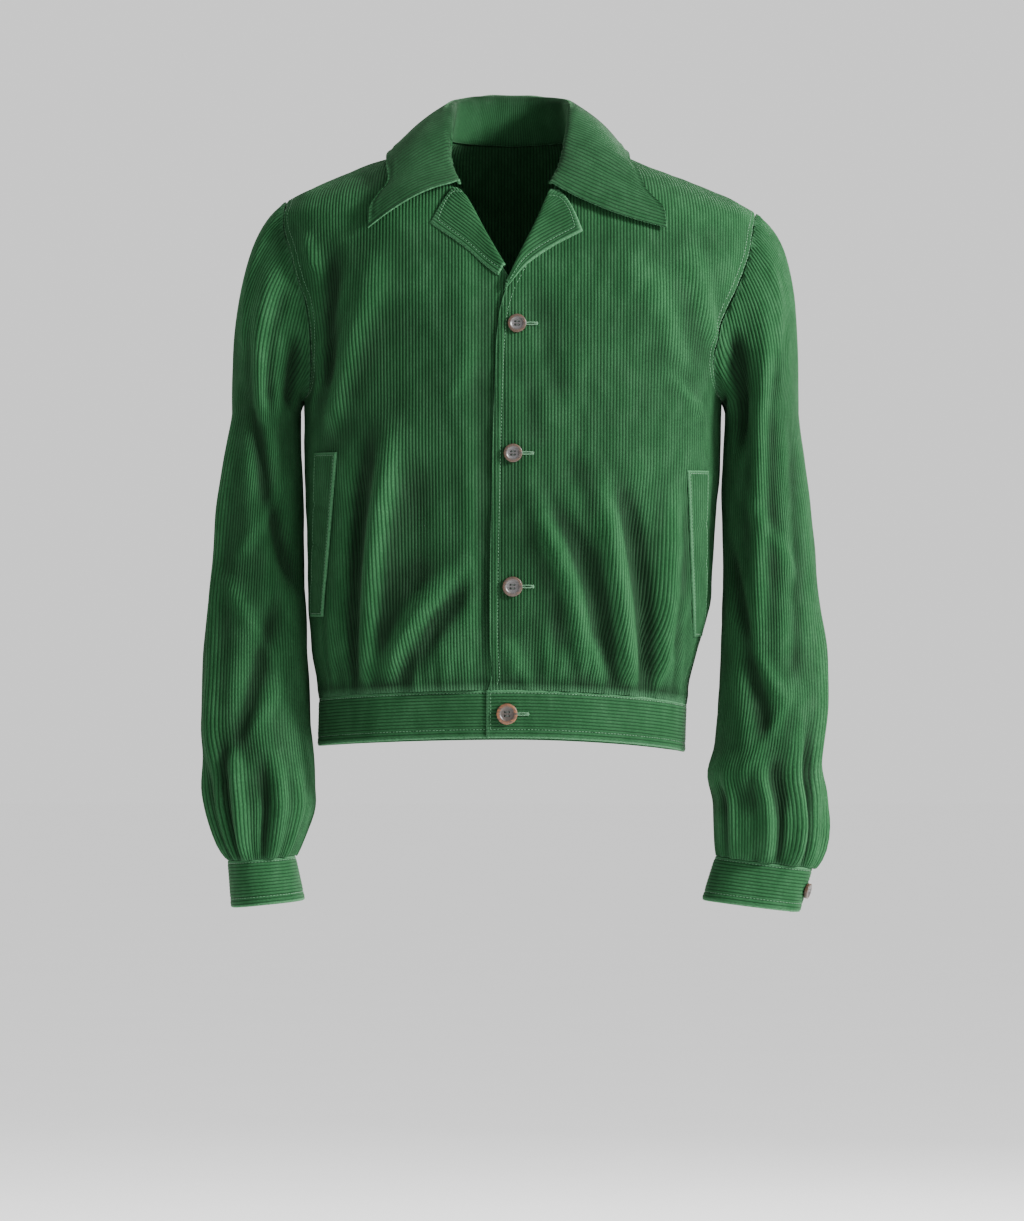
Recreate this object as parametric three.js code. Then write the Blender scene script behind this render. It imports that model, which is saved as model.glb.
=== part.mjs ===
// A cropped corduroy blouson jacket in its worn, hollow form. Millimetres, +Z up.
// The front faces -Y, +X is the wearer's left, and the origin lies between the shoulders at the neck.
import * as THREE from "three";

// Cloth and seams
const CLOTH = 2.0;
const DOUBLE_CLOTH = 2.8;
const SEAM_GAP = 0.3;
const ARMHOLE_GAP = 0.45;
const LAP_DEPTH = CLOTH + 1.0;
const BAND_LAP_DEPTH = DOUBLE_CLOTH + 1.0;

// Main heights
const NECK_POINT_Z = 15;
const UNDERARM_Z = -250;
const WAIST_SEAM_Z = -540;
const BAND_HEIGHT = 47;
const SLEEVE_RING_Z = -262;
const FOLD_GIRTH_RADIUS = 170;

// Mesh density
const FRONT_COLUMNS = 17;
const BACK_COLUMNS = 24;
const LOWER_ROWS = 18;
const UPPER_ROWS = 12;
const CAP_ROWS = 8;
const TUBE_ROWS = 18;

// Sections of the body by height: half widths on each side, depths ahead and behind, squareness.
const BODY = [
  { z: -600, right: 195, left: 176, front: 121, back: 113, square: 2.35 },
  { z: -540, right: 194, left: 178, front: 122, back: 114, square: 2.35 },
  { z: -502, right: 200, left: 187, front: 129, back: 121, square: 2.4 },
  { z: -449, right: 204, left: 201, front: 133, back: 124, square: 2.5 },
  { z: -377, right: 205, left: 205, front: 137, back: 127, square: 2.55 },
  { z: -306, right: 207, left: 210, front: 139, back: 130, square: 2.6 },
  { z: -250, right: 207, left: 211, front: 138, back: 132, square: 2.6 },
  { z: -215, right: 210, left: 215, front: 136, back: 133, square: 2.65 },
  { z: -180, right: 217, left: 226, front: 132, back: 133, square: 2.7 },
  { z: -138, right: 229, left: 243, front: 126, back: 130, square: 2.7 },
  { z: -100, right: 238, left: 251, front: 116, back: 123, square: 2.6 },
  { z: -64, right: 238, left: 247, front: 103, back: 113, square: 2.55 },
  { z: -50, right: 226, left: 228, front: 96, back: 107, square: 2.5 },
  { z: -27, right: 178, left: 176, front: 82, back: 95, square: 2.4 },
  { z: -12, right: 145, left: 134, front: 72, back: 85, square: 2.3 },
  { z: 0, right: 112, left: 106, front: 62, back: 75, square: 2.2 },
  { z: 15, right: 65, left: 65, front: 48, back: 60, square: 2.1 },
];

// Each side of the jacket: the sign of its X, and the height of its shoulder tip.
const SIDES = {
  left: { sign: 1, tip: -62 },
  right: { sign: -1, tip: -50 },
};

// Armhole seams as seen from the front and from the back: distance from the centre by height.
const ARMHOLES = {
  left: {
    front: [
      { z: -250, x: 212 }, { z: -238, x: 206 }, { z: -215, x: 203 }, { z: -189, x: 206 },
      { z: -165, x: 214 }, { z: -138, x: 227 }, { z: -103, x: 239 }, { z: -80, x: 243 }, { z: -62, x: 246 },
    ],
    back: [
      { z: -250, x: 212 }, { z: -238, x: 207 }, { z: -215, x: 204 }, { z: -189, x: 207 },
      { z: -138, x: 226 }, { z: -103, x: 237 }, { z: -80, x: 242 }, { z: -62, x: 246 },
    ],
  },
  right: {
    front: [
      { z: -250, x: 208 }, { z: -238, x: 203 }, { z: -215, x: 201 }, { z: -180, x: 202 },
      { z: -151, x: 206 }, { z: -134, x: 212 }, { z: -100, x: 221 }, { z: -72, x: 229 }, { z: -50, x: 225.9 },
    ],
    back: [
      { z: -250, x: 208 }, { z: -238, x: 204 }, { z: -215, x: 202 }, { z: -180, x: 205 },
      { z: -134, x: 214 }, { z: -100, x: 222 }, { z: -72, x: 229 }, { z: -50, x: 225.9 },
    ],
  },
};

// Inner edges of the fronts: the lapping edge, then the roll line, then the neckline seam.
const INNER_EDGE = {
  left: [
    { z: -540, x: -23 }, { z: -525, x: -19 }, { z: -490, x: -21 }, { z: -456, x: -21 }, { z: -330, x: -19 },
    { z: -201, x: -15 }, { z: -166, x: -12 }, { z: -140, x: -5 }, { z: -124, x: 3 }, { z: -76, x: 27 },
    { z: -34, x: 45 }, { z: -13, x: 57 }, { z: 5, x: 64.5 }, { z: 15, x: 65 },
  ],
  right: [
    { z: -540, x: 22 }, { z: -250, x: 22 }, { z: -170, x: 20 }, { z: -145, x: 10 }, { z: -126, x: -3 },
    { z: -119, x: -7 }, { z: -86, x: -27 }, { z: -50, x: -47 }, { z: -33, x: -60 }, { z: -13, x: -66 },
    { z: 5, x: -67 }, { z: 15, x: -65 },
  ],
};

// Folds of the fronts: a soft ridge or trough from its top to its foot, leaning over a valley on one side.
const FRONT_FOLDS = [
  { x1: -178, z1: -90, x2: -185, z2: -228, bow: 0, width: 11, rise: -5, valley: 0 },
  { x1: -205, z1: -84, x2: -197, z2: -120, bow: 0, width: 7, rise: 3, valley: 0 },
  { x1: -130, z1: -100, x2: -178, z2: -275, bow: -2, width: 13, rise: 5, valley: 0 },
  { x1: -119, z1: -285, x2: -144, z2: -545, bow: -6, width: 12, rise: 9, valley: -1 },
  { x1: -58, z1: -425, x2: -125, z2: -540, bow: -12, width: 12, rise: 7, valley: 1 },
  { x1: -36, z1: -270, x2: -34, z2: -490, bow: 0, width: 9, rise: 2, valley: 0 },
  { x1: -92, z1: -300, x2: -96, z2: -440, bow: 0, width: 14, rise: -3, valley: 0 },
  { x1: 177, z1: -92, x2: 202, z2: -190, bow: 0, width: 10, rise: 4, valley: 0 },
  { x1: 28, z1: -362, x2: 75, z2: -512, bow: 8, width: 11, rise: 6, valley: 1 },
  { x1: 90, z1: -335, x2: 120, z2: -540, bow: 4, width: 12, rise: 8, valley: 1 },
  { x1: 162, z1: -335, x2: 146, z2: -545, bow: 2, width: 12, rise: 5, valley: 0 },
  { x1: -8, z1: -488, x2: 20, z2: -538, bow: 0, width: 9, rise: 3, valley: 0 },
  { x1: 50, z1: -500, x2: 56, z2: -545, bow: 0, width: 7, rise: 3, valley: 0 },
  { x1: 84, z1: -490, x2: 90, z2: -545, bow: 0, width: 7, rise: 4, valley: 0 },
  { x1: 34, z1: -135, x2: 52, z2: -190, bow: 0, width: 9, rise: -3, valley: 0 },
];

// Folds of the back, as seen through the jacket from the front: gathers above the band and two drapes.
const BACK_FOLDS = [
  { x1: -168, z1: -300, x2: -150, z2: -548, bow: 4, width: 13, rise: 6, valley: 1 },
  { x1: -132, z1: -390, x2: -122, z2: -548, bow: 0, width: 10, rise: 5, valley: -1 },
  { x1: -96, z1: -330, x2: -88, z2: -548, bow: 4, width: 13, rise: 8, valley: 1 },
  { x1: -52, z1: -430, x2: -56, z2: -548, bow: 0, width: 10, rise: 4, valley: 0 },
  { x1: -12, z1: -380, x2: -18, z2: -548, bow: -3, width: 12, rise: 5, valley: 1 },
  { x1: 24, z1: -440, x2: 22, z2: -548, bow: 0, width: 10, rise: 4, valley: 0 },
  { x1: 66, z1: -345, x2: 58, z2: -548, bow: -4, width: 13, rise: 7, valley: -1 },
  { x1: 104, z1: -400, x2: 92, z2: -548, bow: 0, width: 10, rise: 5, valley: 0 },
  { x1: 146, z1: -310, x2: 124, z2: -548, bow: -4, width: 13, rise: 7, valley: -1 },
  { x1: -190, z1: -120, x2: -160, z2: -225, bow: 6, width: 15, rise: 4, valley: 0 },
  { x1: 192, z1: -120, x2: 160, z2: -225, bow: -6, width: 15, rise: 4, valley: 0 },
];

// Sleeve sections by height: distance of the outer and inner side from the centre, half depth, centre Y.
const SLEEVES = {
  left: [
    { z: -745, outer: 303, inner: 206, depth: 40, y: -30 },
    { z: -710, outer: 309, inner: 206, depth: 44, y: -28 },
    { z: -688, outer: 314, inner: 203, depth: 54, y: -25 },
    { z: -656, outer: 311, inner: 203, depth: 61, y: -20 },
    { z: -625, outer: 307, inner: 197, depth: 64, y: -16 },
    { z: -594, outer: 310, inner: 205, depth: 66, y: -12 },
    { z: -552, outer: 315, inner: 209, depth: 67, y: -7 },
    { z: -495, outer: 314, inner: 212, depth: 69, y: -1 },
    { z: -414, outer: 307, inner: 214, depth: 72, y: 5 },
    { z: -356, outer: 301, inner: 213, depth: 74, y: 6 },
    { z: -291, outer: 293, inner: 215, depth: 77, y: 4 },
    { z: -262, outer: 290, inner: 216, depth: 79, y: 2 },
  ],
  right: [
    { z: -745, outer: 285, inner: 217, depth: 46, y: -30 },
    { z: -710, outer: 287, inner: 214, depth: 50, y: -28 },
    { z: -686, outer: 296, inner: 206, depth: 58, y: -25 },
    { z: -651, outer: 304, inner: 197, depth: 64, y: -20 },
    { z: -620, outer: 308, inner: 198, depth: 66, y: -16 },
    { z: -577, outer: 313, inner: 202, depth: 67, y: -10 },
    { z: -535, outer: 311, inner: 204, depth: 68, y: -6 },
    { z: -454, outer: 306, inner: 208, depth: 71, y: 2 },
    { z: -414, outer: 301, inner: 209, depth: 72, y: 5 },
    { z: -363, outer: 296, inner: 210, depth: 74, y: 6 },
    { z: -322, outer: 290, inner: 211, depth: 75, y: 5 },
    { z: -262, outer: 281, inner: 212, depth: 78, y: 2 },
  ],
};

const SLEEVE_SQUARENESS = 2.3;
const SLEEVE_FULLNESS = 0.8;
const SLEEVE_GIRTH_RADIUS = 62;
const CAP_SHARE = 0.3;

// Sleeve folds: turn around the sleeve from its outer side through the front, and height along it from 0 to 1.
const SLEEVE_FOLDS = {
  left: [
    { turn1: 118, s1: 0.02, turn2: 128, s2: 0.34, width: 12, rise: -7, valley: 0 },
    { turn1: 84, s1: 0.06, turn2: 108, s2: 0.62, width: 13, rise: 6, valley: 0 },
    { turn1: 40, s1: 0.3, turn2: 62, s2: 0.72, width: 14, rise: -4, valley: 0 },
    { turn1: 150, s1: 0.5, turn2: 96, s2: 0.8, width: 12, rise: -5, valley: 0 },
    { turn1: 20, s1: 0.6, turn2: 30, s2: 0.9, width: 13, rise: 5, valley: 0 },
    { turn1: 92, s1: 0.84, turn2: 88, s2: 1.03, width: 9, rise: 6, valley: -1 },
    { turn1: 56, s1: 0.8, turn2: 54, s2: 1.03, width: 9, rise: 7, valley: -1 },
    { turn1: 14, s1: 0.84, turn2: 12, s2: 1.03, width: 10, rise: 5, valley: -1 },
    { turn1: 310, s1: 0.05, turn2: 290, s2: 0.5, width: 15, rise: 5, valley: 0 },
    { turn1: 250, s1: 0.35, turn2: 300, s2: 0.75, width: 14, rise: -5, valley: 0 },
    { turn1: 325, s1: 0.8, turn2: 325, s2: 1.03, width: 10, rise: 6, valley: 1 },
    { turn1: 270, s1: 0.82, turn2: 270, s2: 1.03, width: 10, rise: 5, valley: 1 },
  ],
  right: [
    { turn1: 78, s1: 0.03, turn2: 84, s2: 0.3, width: 12, rise: 5, valley: 0 },
    { turn1: 122, s1: 0.05, turn2: 132, s2: 0.25, width: 9, rise: -4, valley: 0 },
    { turn1: 64, s1: 0.28, turn2: 138, s2: 0.56, width: 14, rise: -6, valley: 0 },
    { turn1: 36, s1: 0.26, turn2: 44, s2: 0.96, width: 12, rise: 5, valley: 0 },
    { turn1: 120, s1: 0.58, turn2: 70, s2: 0.84, width: 14, rise: -5, valley: 0 },
    { turn1: 66, s1: 0.82, turn2: 66, s2: 1.03, width: 9, rise: 7, valley: -1 },
    { turn1: 110, s1: 0.84, turn2: 108, s2: 1.03, width: 10, rise: 5, valley: -1 },
    { turn1: 24, s1: 0.84, turn2: 22, s2: 1.03, width: 10, rise: 5, valley: 1 },
    { turn1: 310, s1: 0.05, turn2: 290, s2: 0.5, width: 15, rise: 5, valley: 0 },
    { turn1: 250, s1: 0.35, turn2: 300, s2: 0.75, width: 14, rise: -5, valley: 0 },
    { turn1: 325, s1: 0.8, turn2: 325, s2: 1.03, width: 10, rise: 6, valley: 1 },
    { turn1: 270, s1: 0.82, turn2: 270, s2: 1.03, width: 10, rise: 5, valley: 1 },
  ],
};

// Cuffs: centre, half width and half depth of the top and bottom ring, and how far the outer end drops.
const CUFFS = {
  left: {
    top: { x: 254.5, y: -29, z: -713.5, half: 49, depth: 33, drop: 13 },
    bottom: { x: 241.5, y: -31, z: -757, half: 49.5, depth: 34, drop: 13 },
    buttonTurn: 14,
  },
  right: {
    top: { x: 251, y: -29, z: -709.5, half: 34, depth: 46, drop: 5 },
    bottom: { x: 244.5, y: -31, z: -754.5, half: 37.5, depth: 46, drop: 8 },
    buttonTurn: 318,
  },
};
const CUFF_SQUARENESS = 2.2;
const CUFF_LAP_TURN = 16;
const CUFF_GATHER_LENGTH = 45;
const BAND_OVER_END = -24;
const BAND_UNDER_END = 26;

// Collar: roll line from the centre back to the front end, and the outer edge lying on the body.
const ROLL_LINE = {
  left: [
    { c: 0, x: 0, y: 54, z: 60 }, { c: 0.1, x: 15, y: 53, z: 60 }, { c: 0.25, x: 36, y: 45, z: 58 },
    { c: 0.45, x: 57, y: 20, z: 54 }, { c: 0.6, x: 61, y: -10, z: 46 }, { c: 0.7, x: 60, y: -30, z: 31 }, { c: 0.8, x: 57, y: -47, z: 13 },
    { c: 0.9, x: 51, y: -69, z: -12 }, { c: 1, x: 41, y: -91, z: -33 },
  ],
  right: [
    { c: 0, x: 0, y: 54, z: 60 }, { c: 0.1, x: 15, y: 53, z: 60 }, { c: 0.25, x: 36, y: 45, z: 58 },
    { c: 0.45, x: 57, y: 20, z: 54 }, { c: 0.6, x: 62, y: -10, z: 46 }, { c: 0.7, x: 64, y: -30, z: 31 }, { c: 0.8, x: 65, y: -47, z: 13 },
    { c: 0.9, x: 61, y: -70, z: -12 }, { c: 1, x: 54, y: -92, z: -31 },
  ],
};
const COLLAR_EDGE = {
  left: [
    { c: 0, turn: 180, z: -15 }, { c: 0.25, turn: 149, z: -12 }, { c: 0.45, turn: 116, z: -4 },
    { c: 0.6, turn: 88, z: -2 }, { c: 0.72, turn: 55, z: -13 }, { c: 0.86, turn: 35.5, z: -47 },
    { c: 1, turn: 35, z: -80 },
  ],
  right: [
    { c: 0, turn: 180, z: -15 }, { c: 0.25, turn: 149, z: -12 }, { c: 0.45, turn: 116, z: -4 },
    { c: 0.6, turn: 88, z: -1 }, { c: 0.72, turn: 54, z: -12 }, { c: 0.86, turn: 33.5, z: -45 },
    { c: 1, turn: 33.5, z: -80 },
  ],
};
const COLLAR_END_SAG = { left: 9, right: -3 };
const COLLAR_SECTIONS = 18;
const COLLAR_LIFT = DOUBLE_CLOTH + 0.9;
const COLLAR_BOW = 6;
const ROLL_RADIUS = 4;
const NECK_SEAM_SHARE = 0.55;
const NECK_CENTRE_Y = -5;
const NECK_SEAT = 0.5;
const GORGE_SEAT = 2;
const BACK_NECK_DROP = 4;
const SHOULDER_SHARE = 0.6;

// Lapels: outer edge from the notch round the tip to the break point.
const LAPEL_EDGE = {
  left: [
    { f: 0, x: 71, z: -82 }, { f: 0.34, x: 43, z: -97 }, { f: 0.68, x: 16, z: -116 }, { f: 1, x: -6, z: -142 },
  ],
  right: [
    { f: 0, x: -80, z: -74 }, { f: 0.36, x: -45, z: -99 }, { f: 0.75, x: -22, z: -119 }, { f: 1, x: -13, z: -126 },
  ],
};
const LAPEL_NOTCH = { left: { x: 55, z: -49 }, right: { x: -62, z: -44 } };
const GORGE_Z = { left: -37, right: -36 };
const GORGE_GAP = 5.5;
const BREAK_Z = { left: -134, right: -117 };
const LAPEL_ROWS = 8;
const LAPEL_LIP = [{ reach: 3.3, lift: -1.4 }, { reach: 3.7, lift: 1.2 }, { reach: 2.4, lift: 4 }];
const LAPEL_FALL = [
  { t: 0.1, lift: 4.6 }, { t: 0.3, lift: 4 }, { t: 0.55, lift: 3.4 }, { t: 0.8, lift: 3 }, { t: 1, lift: 2.8 },
];

// Welt pockets: the front edge by height as seen from the front, and the width round the body.
const WELTS = {
  left: { top: { x: 175, z: -321 }, bottom: { x: 182, z: -486 }, width: 12 },
  right: { top: { x: -173, z: -303 }, bottom: { x: -187, z: -466 }, width: 13 },
};
const WELT_LIFT = 0.6;
const WELT_COLUMNS = 3;
const WELT_ROWS = 10;

// Buttons: place, diameter; those on the cuffs and the band sit on their own bands.
const FRONT_BUTTONS = [
  { name: "button_top", x: 6, z: -175, size: 18.5 },
  { name: "button_middle", x: 2, z: -304, size: 18.5 },
  { name: "button_lower", x: 1.5, z: -436.6, size: 20 },
];
const BAND_BUTTON = { name: "button_waistband", x: -4, z: -563, size: 21 };
const CUFF_BUTTON_SIZE = 16;
const BUTTON_THICKNESS = 3.2;
const BUTTON_LIFT = 0.6;
const BUTTON_HOLE_RADIUS = 1.1;
const BUTTON_HOLE_RING = 2.4;

const radians = THREE.MathUtils.degToRad;
const lerp = THREE.MathUtils.lerp;
const clamp = THREE.MathUtils.clamp;

// Smooth step from 0 at low to 1 at high.
function ease(low, high, at) {
  const t = clamp((at - low) / (high - low), 0, 1);
  return t * t * (3 - 2 * t);
}

// Reads one column of a table at a value of another, with a smooth curve that doesn't overshoot.
function read(rows, by, column, at) {
  const last = rows.length - 1;
  if (at <= rows[0][by]) return rows[0][column];
  if (at >= rows[last][by]) return rows[last][column];
  let i = 0;
  while (rows[i + 1][by] < at) i += 1;
  const slope = (k) => (rows[k + 1][column] - rows[k][column]) / (rows[k + 1][by] - rows[k][by]);
  const tangent = (k) => {
    if (k === 0) return slope(0);
    if (k === last) return slope(last - 1);
    const before = slope(k - 1);
    const after = slope(k);
    return before * after <= 0 ? 0 : (2 * before * after) / (before + after);
  };
  const span = rows[i + 1][by] - rows[i][by];
  const t = (at - rows[i][by]) / span;
  const square = t * t;
  const cube = square * t;
  return (2 * cube - 3 * square + 1) * rows[i][column]
    + (cube - 2 * square + t) * span * tangent(i)
    + (3 * square - 2 * cube) * rows[i + 1][column]
    + (cube - square) * span * tangent(i + 1);
}

const sideOf = (x) => (x >= 0 ? "left" : "right");
const halfWidth = (side, z) => read(BODY, "z", side, z);

// Turn round the body, in degrees from the centre front, of a place seen at x from the front.
function turnAt(x, z) {
  const power = read(BODY, "z", "square", z);
  const across = Math.min(Math.abs(x) / halfWidth(sideOf(x), z), 1);
  const ahead = Math.pow(1 - Math.pow(across, power), 1 / power);
  return Math.sign(x) * THREE.MathUtils.radToDeg(Math.atan2(across, ahead));
}

// Height added by one fold at a distance across it, in millimetres, and a share along it.
function foldShape(fold, distance, share) {
  if (share < -0.12 || share > 1.12) return 0;
  const fade = ease(-0.12, 0.3, share) * (1 - ease(0.9, 1.12, share));
  const crest = Math.exp(-((distance / fold.width) ** 2));
  const beside = (distance - fold.valley * fold.width * 1.5) / fold.width;
  const dip = fold.valley === 0 ? 0 : 0.7 * Math.exp(-(beside ** 2));
  return fold.rise * fade * (crest - dip);
}

// Height added by the folds of the body at a turn and height, less near the waist seam.
function bodyFolds(turn, z) {
  const ahead = Math.abs(turn) <= 90;
  const seen = ahead ? turn : Math.sign(turn) * 180 - turn;
  let height = 0;
  for (const fold of ahead ? FRONT_FOLDS : BACK_FOLDS) {
    const share = (fold.z1 - z) / (fold.z1 - fold.z2);
    if (share < -0.12 || share > 1.12) continue;
    const x = lerp(fold.x1, fold.x2, share) + fold.bow * Math.sin(Math.PI * clamp(share, 0, 1));
    const distance = radians(seen - turnAt(x, z)) * FOLD_GIRTH_RADIUS;
    height += foldShape(fold, distance, share);
  }
  const side = 1 - ease(74, 84, Math.abs(seen));
  return height * side * lerp(0.3, 1, ease(WAIST_SEAM_Z - 8, WAIST_SEAM_Z + 35, z));
}

// The smooth body at a turn and height.
function smoothBody(turn, z) {
  const power = read(BODY, "z", "square", z);
  const angle = radians(turn);
  const sine = Math.sin(angle);
  const cosine = Math.cos(angle);
  const radius = Math.pow(Math.pow(Math.abs(sine), power) + Math.pow(Math.abs(cosine), power), -1 / power);
  const width = halfWidth(sideOf(sine), z);
  const depth = read(BODY, "z", cosine >= 0 ? "front" : "back", z);
  return new THREE.Vector3(width * radius * sine, -depth * radius * cosine, z);
}

// Outward normal of the smooth body.
function bodyNormal(turn, z) {
  const step = 0.4;
  const around = smoothBody(turn + step, z).sub(smoothBody(turn - step, z));
  const up = smoothBody(turn, z + step).sub(smoothBody(turn, z - step));
  return around.cross(up).normalize();
}

// A point of the body with a share of its folds, moved out by a lift.
function bodyPoint(turn, z, lift = 0, folded = 1) {
  const wrapped = turn > 180 ? turn - 360 : turn;
  const normal = bodyNormal(wrapped, z);
  const height = folded * bodyFolds(wrapped, z) * (1 - ease(-70, -30, z));
  return { point: smoothBody(wrapped, z).addScaledVector(normal, height + lift), normal };
}

// A point on the front seen at x and z.
const frontPoint = (x, z, lift = 0) => bodyPoint(turnAt(x, z), z, lift);

// Height of the seam between the body and the waistband at a turn.
function waistSeam(turn) {
  const x = Math.sin(radians(turn));
  const fall = x > 0 ? 13 : 7;
  const behind = 1 - Math.cos(radians(turn));
  return WAIST_SEAM_Z - fall * x * x - 2.5 * behind;
}

// A closed wall between a grid of outer points and the same points moved in along their normals.
function wall(rows, thickness, closed = false) {
  const rowCount = rows.length;
  const columnCount = rows[0].length;
  const positions = [];
  for (const shift of [0, -thickness]) {
    for (const row of rows) {
      for (const { point, normal } of row) {
        positions.push(...point.clone().addScaledVector(normal, shift).toArray());
      }
    }
  }
  const inner = rowCount * columnCount;
  const faces = [];
  const quad = (a, b, c, d) => faces.push(a, b, c, a, c, d);
  const at = (row, column) => row * columnCount + (column % columnCount);
  const lastColumn = closed ? columnCount : columnCount - 1;
  for (let row = 0; row < rowCount - 1; row += 1) {
    for (let column = 0; column < lastColumn; column += 1) {
      const corners = [at(row, column), at(row, column + 1), at(row + 1, column + 1), at(row + 1, column)];
      quad(...corners);
      quad(...corners.map((corner) => corner + inner).reverse());
    }
  }
  for (let column = 0; column < lastColumn; column += 1) {
    const [a, b] = [at(0, column), at(0, column + 1)];
    const [c, d] = [at(rowCount - 1, column), at(rowCount - 1, column + 1)];
    quad(b, a, a + inner, b + inner);
    quad(c, d, d + inner, c + inner);
  }
  for (let row = 0; row < rowCount - 1 && !closed; row += 1) {
    const [a, b] = [at(row, 0), at(row + 1, 0)];
    const [c, d] = [at(row, columnCount - 1), at(row + 1, columnCount - 1)];
    quad(a, b, b + inner, a + inner);
    quad(d, c, c + inner, d + inner);
  }
  return facingOut(positions, faces);
}

// A geometry from positions and faces, turned to face out.
function facingOut(positions, faces) {
  const corner = (index) => new THREE.Vector3().fromArray(positions, index * 3);
  let volume = 0;
  for (let i = 0; i < faces.length; i += 3) {
    volume += corner(faces[i]).dot(corner(faces[i + 1]).cross(corner(faces[i + 2])));
  }
  const geometry = new THREE.BufferGeometry();
  geometry.setAttribute("position", new THREE.Float32BufferAttribute(positions, 3));
  geometry.setIndex(volume > 0 ? faces : faces.reverse());
  return geometry;
}

// Gives each point of a grid the normal of its neighbours, on the side that a sign picks.
function withNormals(grid, sign, closed = false) {
  const columns = grid[0].length;
  return grid.map((row, i) => row.map((point, j) => {
    const above = grid[Math.min(i + 1, grid.length - 1)][j];
    const below = grid[Math.max(i - 1, 0)][j];
    const next = closed ? row[(j + 1) % columns] : row[Math.min(j + 1, columns - 1)];
    const before = closed ? row[(j + columns - 1) % columns] : row[Math.max(j - 1, 0)];
    const across = next.clone().sub(before);
    const normal = across.cross(above.clone().sub(below)).multiplyScalar(sign).normalize();
    return { point, normal };
  }));
}

// Share of the upper rows that crowds them at the underarm and at the shoulder.
const crowded = (share) => Math.sin((Math.PI / 2) * (1 - Math.pow(1 - share, 1.25))) ** 2;

// The armhole place of a panel at a share from the underarm to the shoulder tip.
function armholePlace(side, panel, share) {
  const { sign, tip } = SIDES[side];
  const z = lerp(UNDERARM_Z, tip, crowded(share));
  const turn = share === 1 ? 90 * sign : turnAt(sign * read(ARMHOLES[side][panel], "z", "x", z), z);
  return { z, turn: panel === "front" ? turn : 180 * sign - turn };
}

// How far the under front lies in where the other front laps over it.
const lapInset = (side, x) => (side === "right" ? -LAP_DEPTH * ease(-48, -24, x) : 0);

// Turn of a panel's edge at the side and shoulder seams, half a gap from the seam line.
function seamTurn(sign, panel, z) {
  const half = THREE.MathUtils.radToDeg(SEAM_GAP / 2 / read(BODY, "z", panel, z));
  return sign * (panel === "front" ? 90 - half : 90 + half);
}

// Outer end of a panel's row: the side seam below the underarm, the armhole above it.
function outerPlace(side, panel, row) {
  const { sign } = SIDES[side];
  const share = Math.max((row - LOWER_ROWS) / UPPER_ROWS, 0);
  const place = armholePlace(side, panel, share);
  const onSeam = share === 0 || share === 1;
  return { z: place.z, turn: onSeam ? seamTurn(sign, panel, place.z) : place.turn };
}

// Height of a place in a row below the underarm, which starts just over the waist seam.
const lowerZ = (turn, row) => lerp(waistSeam(turn) + SEAM_GAP, UNDERARM_Z, row / LOWER_ROWS);

// Inner end of a front's row: the lapping edge, the roll line and the neckline seam.
function innerPlace(side, row) {
  const share = (row - LOWER_ROWS) / UPPER_ROWS;
  const below = lerp(WAIST_SEAM_Z, UNDERARM_Z, Math.min(row / LOWER_ROWS, 1));
  const z = share > 0 ? lerp(UNDERARM_Z, NECK_POINT_Z, crowded(share)) : below;
  const atNeck = row === LOWER_ROWS + UPPER_ROWS;
  const turn = atNeck ? seamTurn(SIDES[side].sign, "front", z) : turnAt(read(INNER_EDGE[side], "z", "x", z), z);
  return { z, turn };
}

// One front, from its lapping edge and roll line to its side seam and armhole.
function front(side) {
  const rows = [];
  for (let row = 0; row <= LOWER_ROWS + UPPER_ROWS; row += 1) {
    const inner = innerPlace(side, row);
    const outer = outerPlace(side, "front", row);
    const line = [];
    for (let column = 0; column <= FRONT_COLUMNS; column += 1) {
      const share = column / FRONT_COLUMNS;
      const turn = lerp(inner.turn, outer.turn, share);
      const z = row < LOWER_ROWS ? lowerZ(turn, row) : lerp(inner.z, outer.z, share);
      const inset = lapInset(side, smoothBody(turn, z).x);
      line.push(bodyPoint(turn, z, inset, 1 + inset / LAP_DEPTH));
    }
    rows.push(line);
  }
  return wall(rows, CLOTH);
}

// One place of the back at a share of the way from a side edge to the centre back.
function backPlace(side, row, share) {
  const { sign } = SIDES[side];
  const outer = outerPlace(side, "back", row);
  if (row < LOWER_ROWS) {
    const turn = lerp(outer.turn, 180 * sign, share);
    return { turn, z: lowerZ(turn, row) };
  }
  const upper = crowded((row - LOWER_ROWS) / UPPER_ROWS);
  const blend = upper * upper;
  const towardCentre = Math.max((share - SHOULDER_SHARE) / (1 - SHOULDER_SHARE), 0);
  const alongShoulder = Math.min(share / SHOULDER_SHARE, 1);
  const seam = 90 * sign;
  const cut = (outer.turn - seam) * (1 - share) ** 3;
  const turn = lerp(seam, 180 * sign, lerp(share, towardCentre, blend)) + cut;
  const rise = lerp(share, alongShoulder, blend);
  const centreZ = lerp(UNDERARM_Z, NECK_POINT_Z - BACK_NECK_DROP * towardCentre, upper);
  return { turn, z: lerp(outer.z, centreZ, rise) };
}

// The back, from the right side seam to the left one.
function back() {
  const half = BACK_COLUMNS / 2;
  const rows = [];
  for (let row = 0; row <= LOWER_ROWS + UPPER_ROWS; row += 1) {
    const line = [];
    for (let column = 0; column <= BACK_COLUMNS; column += 1) {
      const side = column <= half ? "right" : "left";
      const share = 1 - Math.abs(column - half) / half;
      const { turn, z } = backPlace(side, row, share);
      line.push(bodyPoint(turn, z));
    }
    rows.push(line);
  }
  return wall(rows, CLOTH);
}

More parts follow.
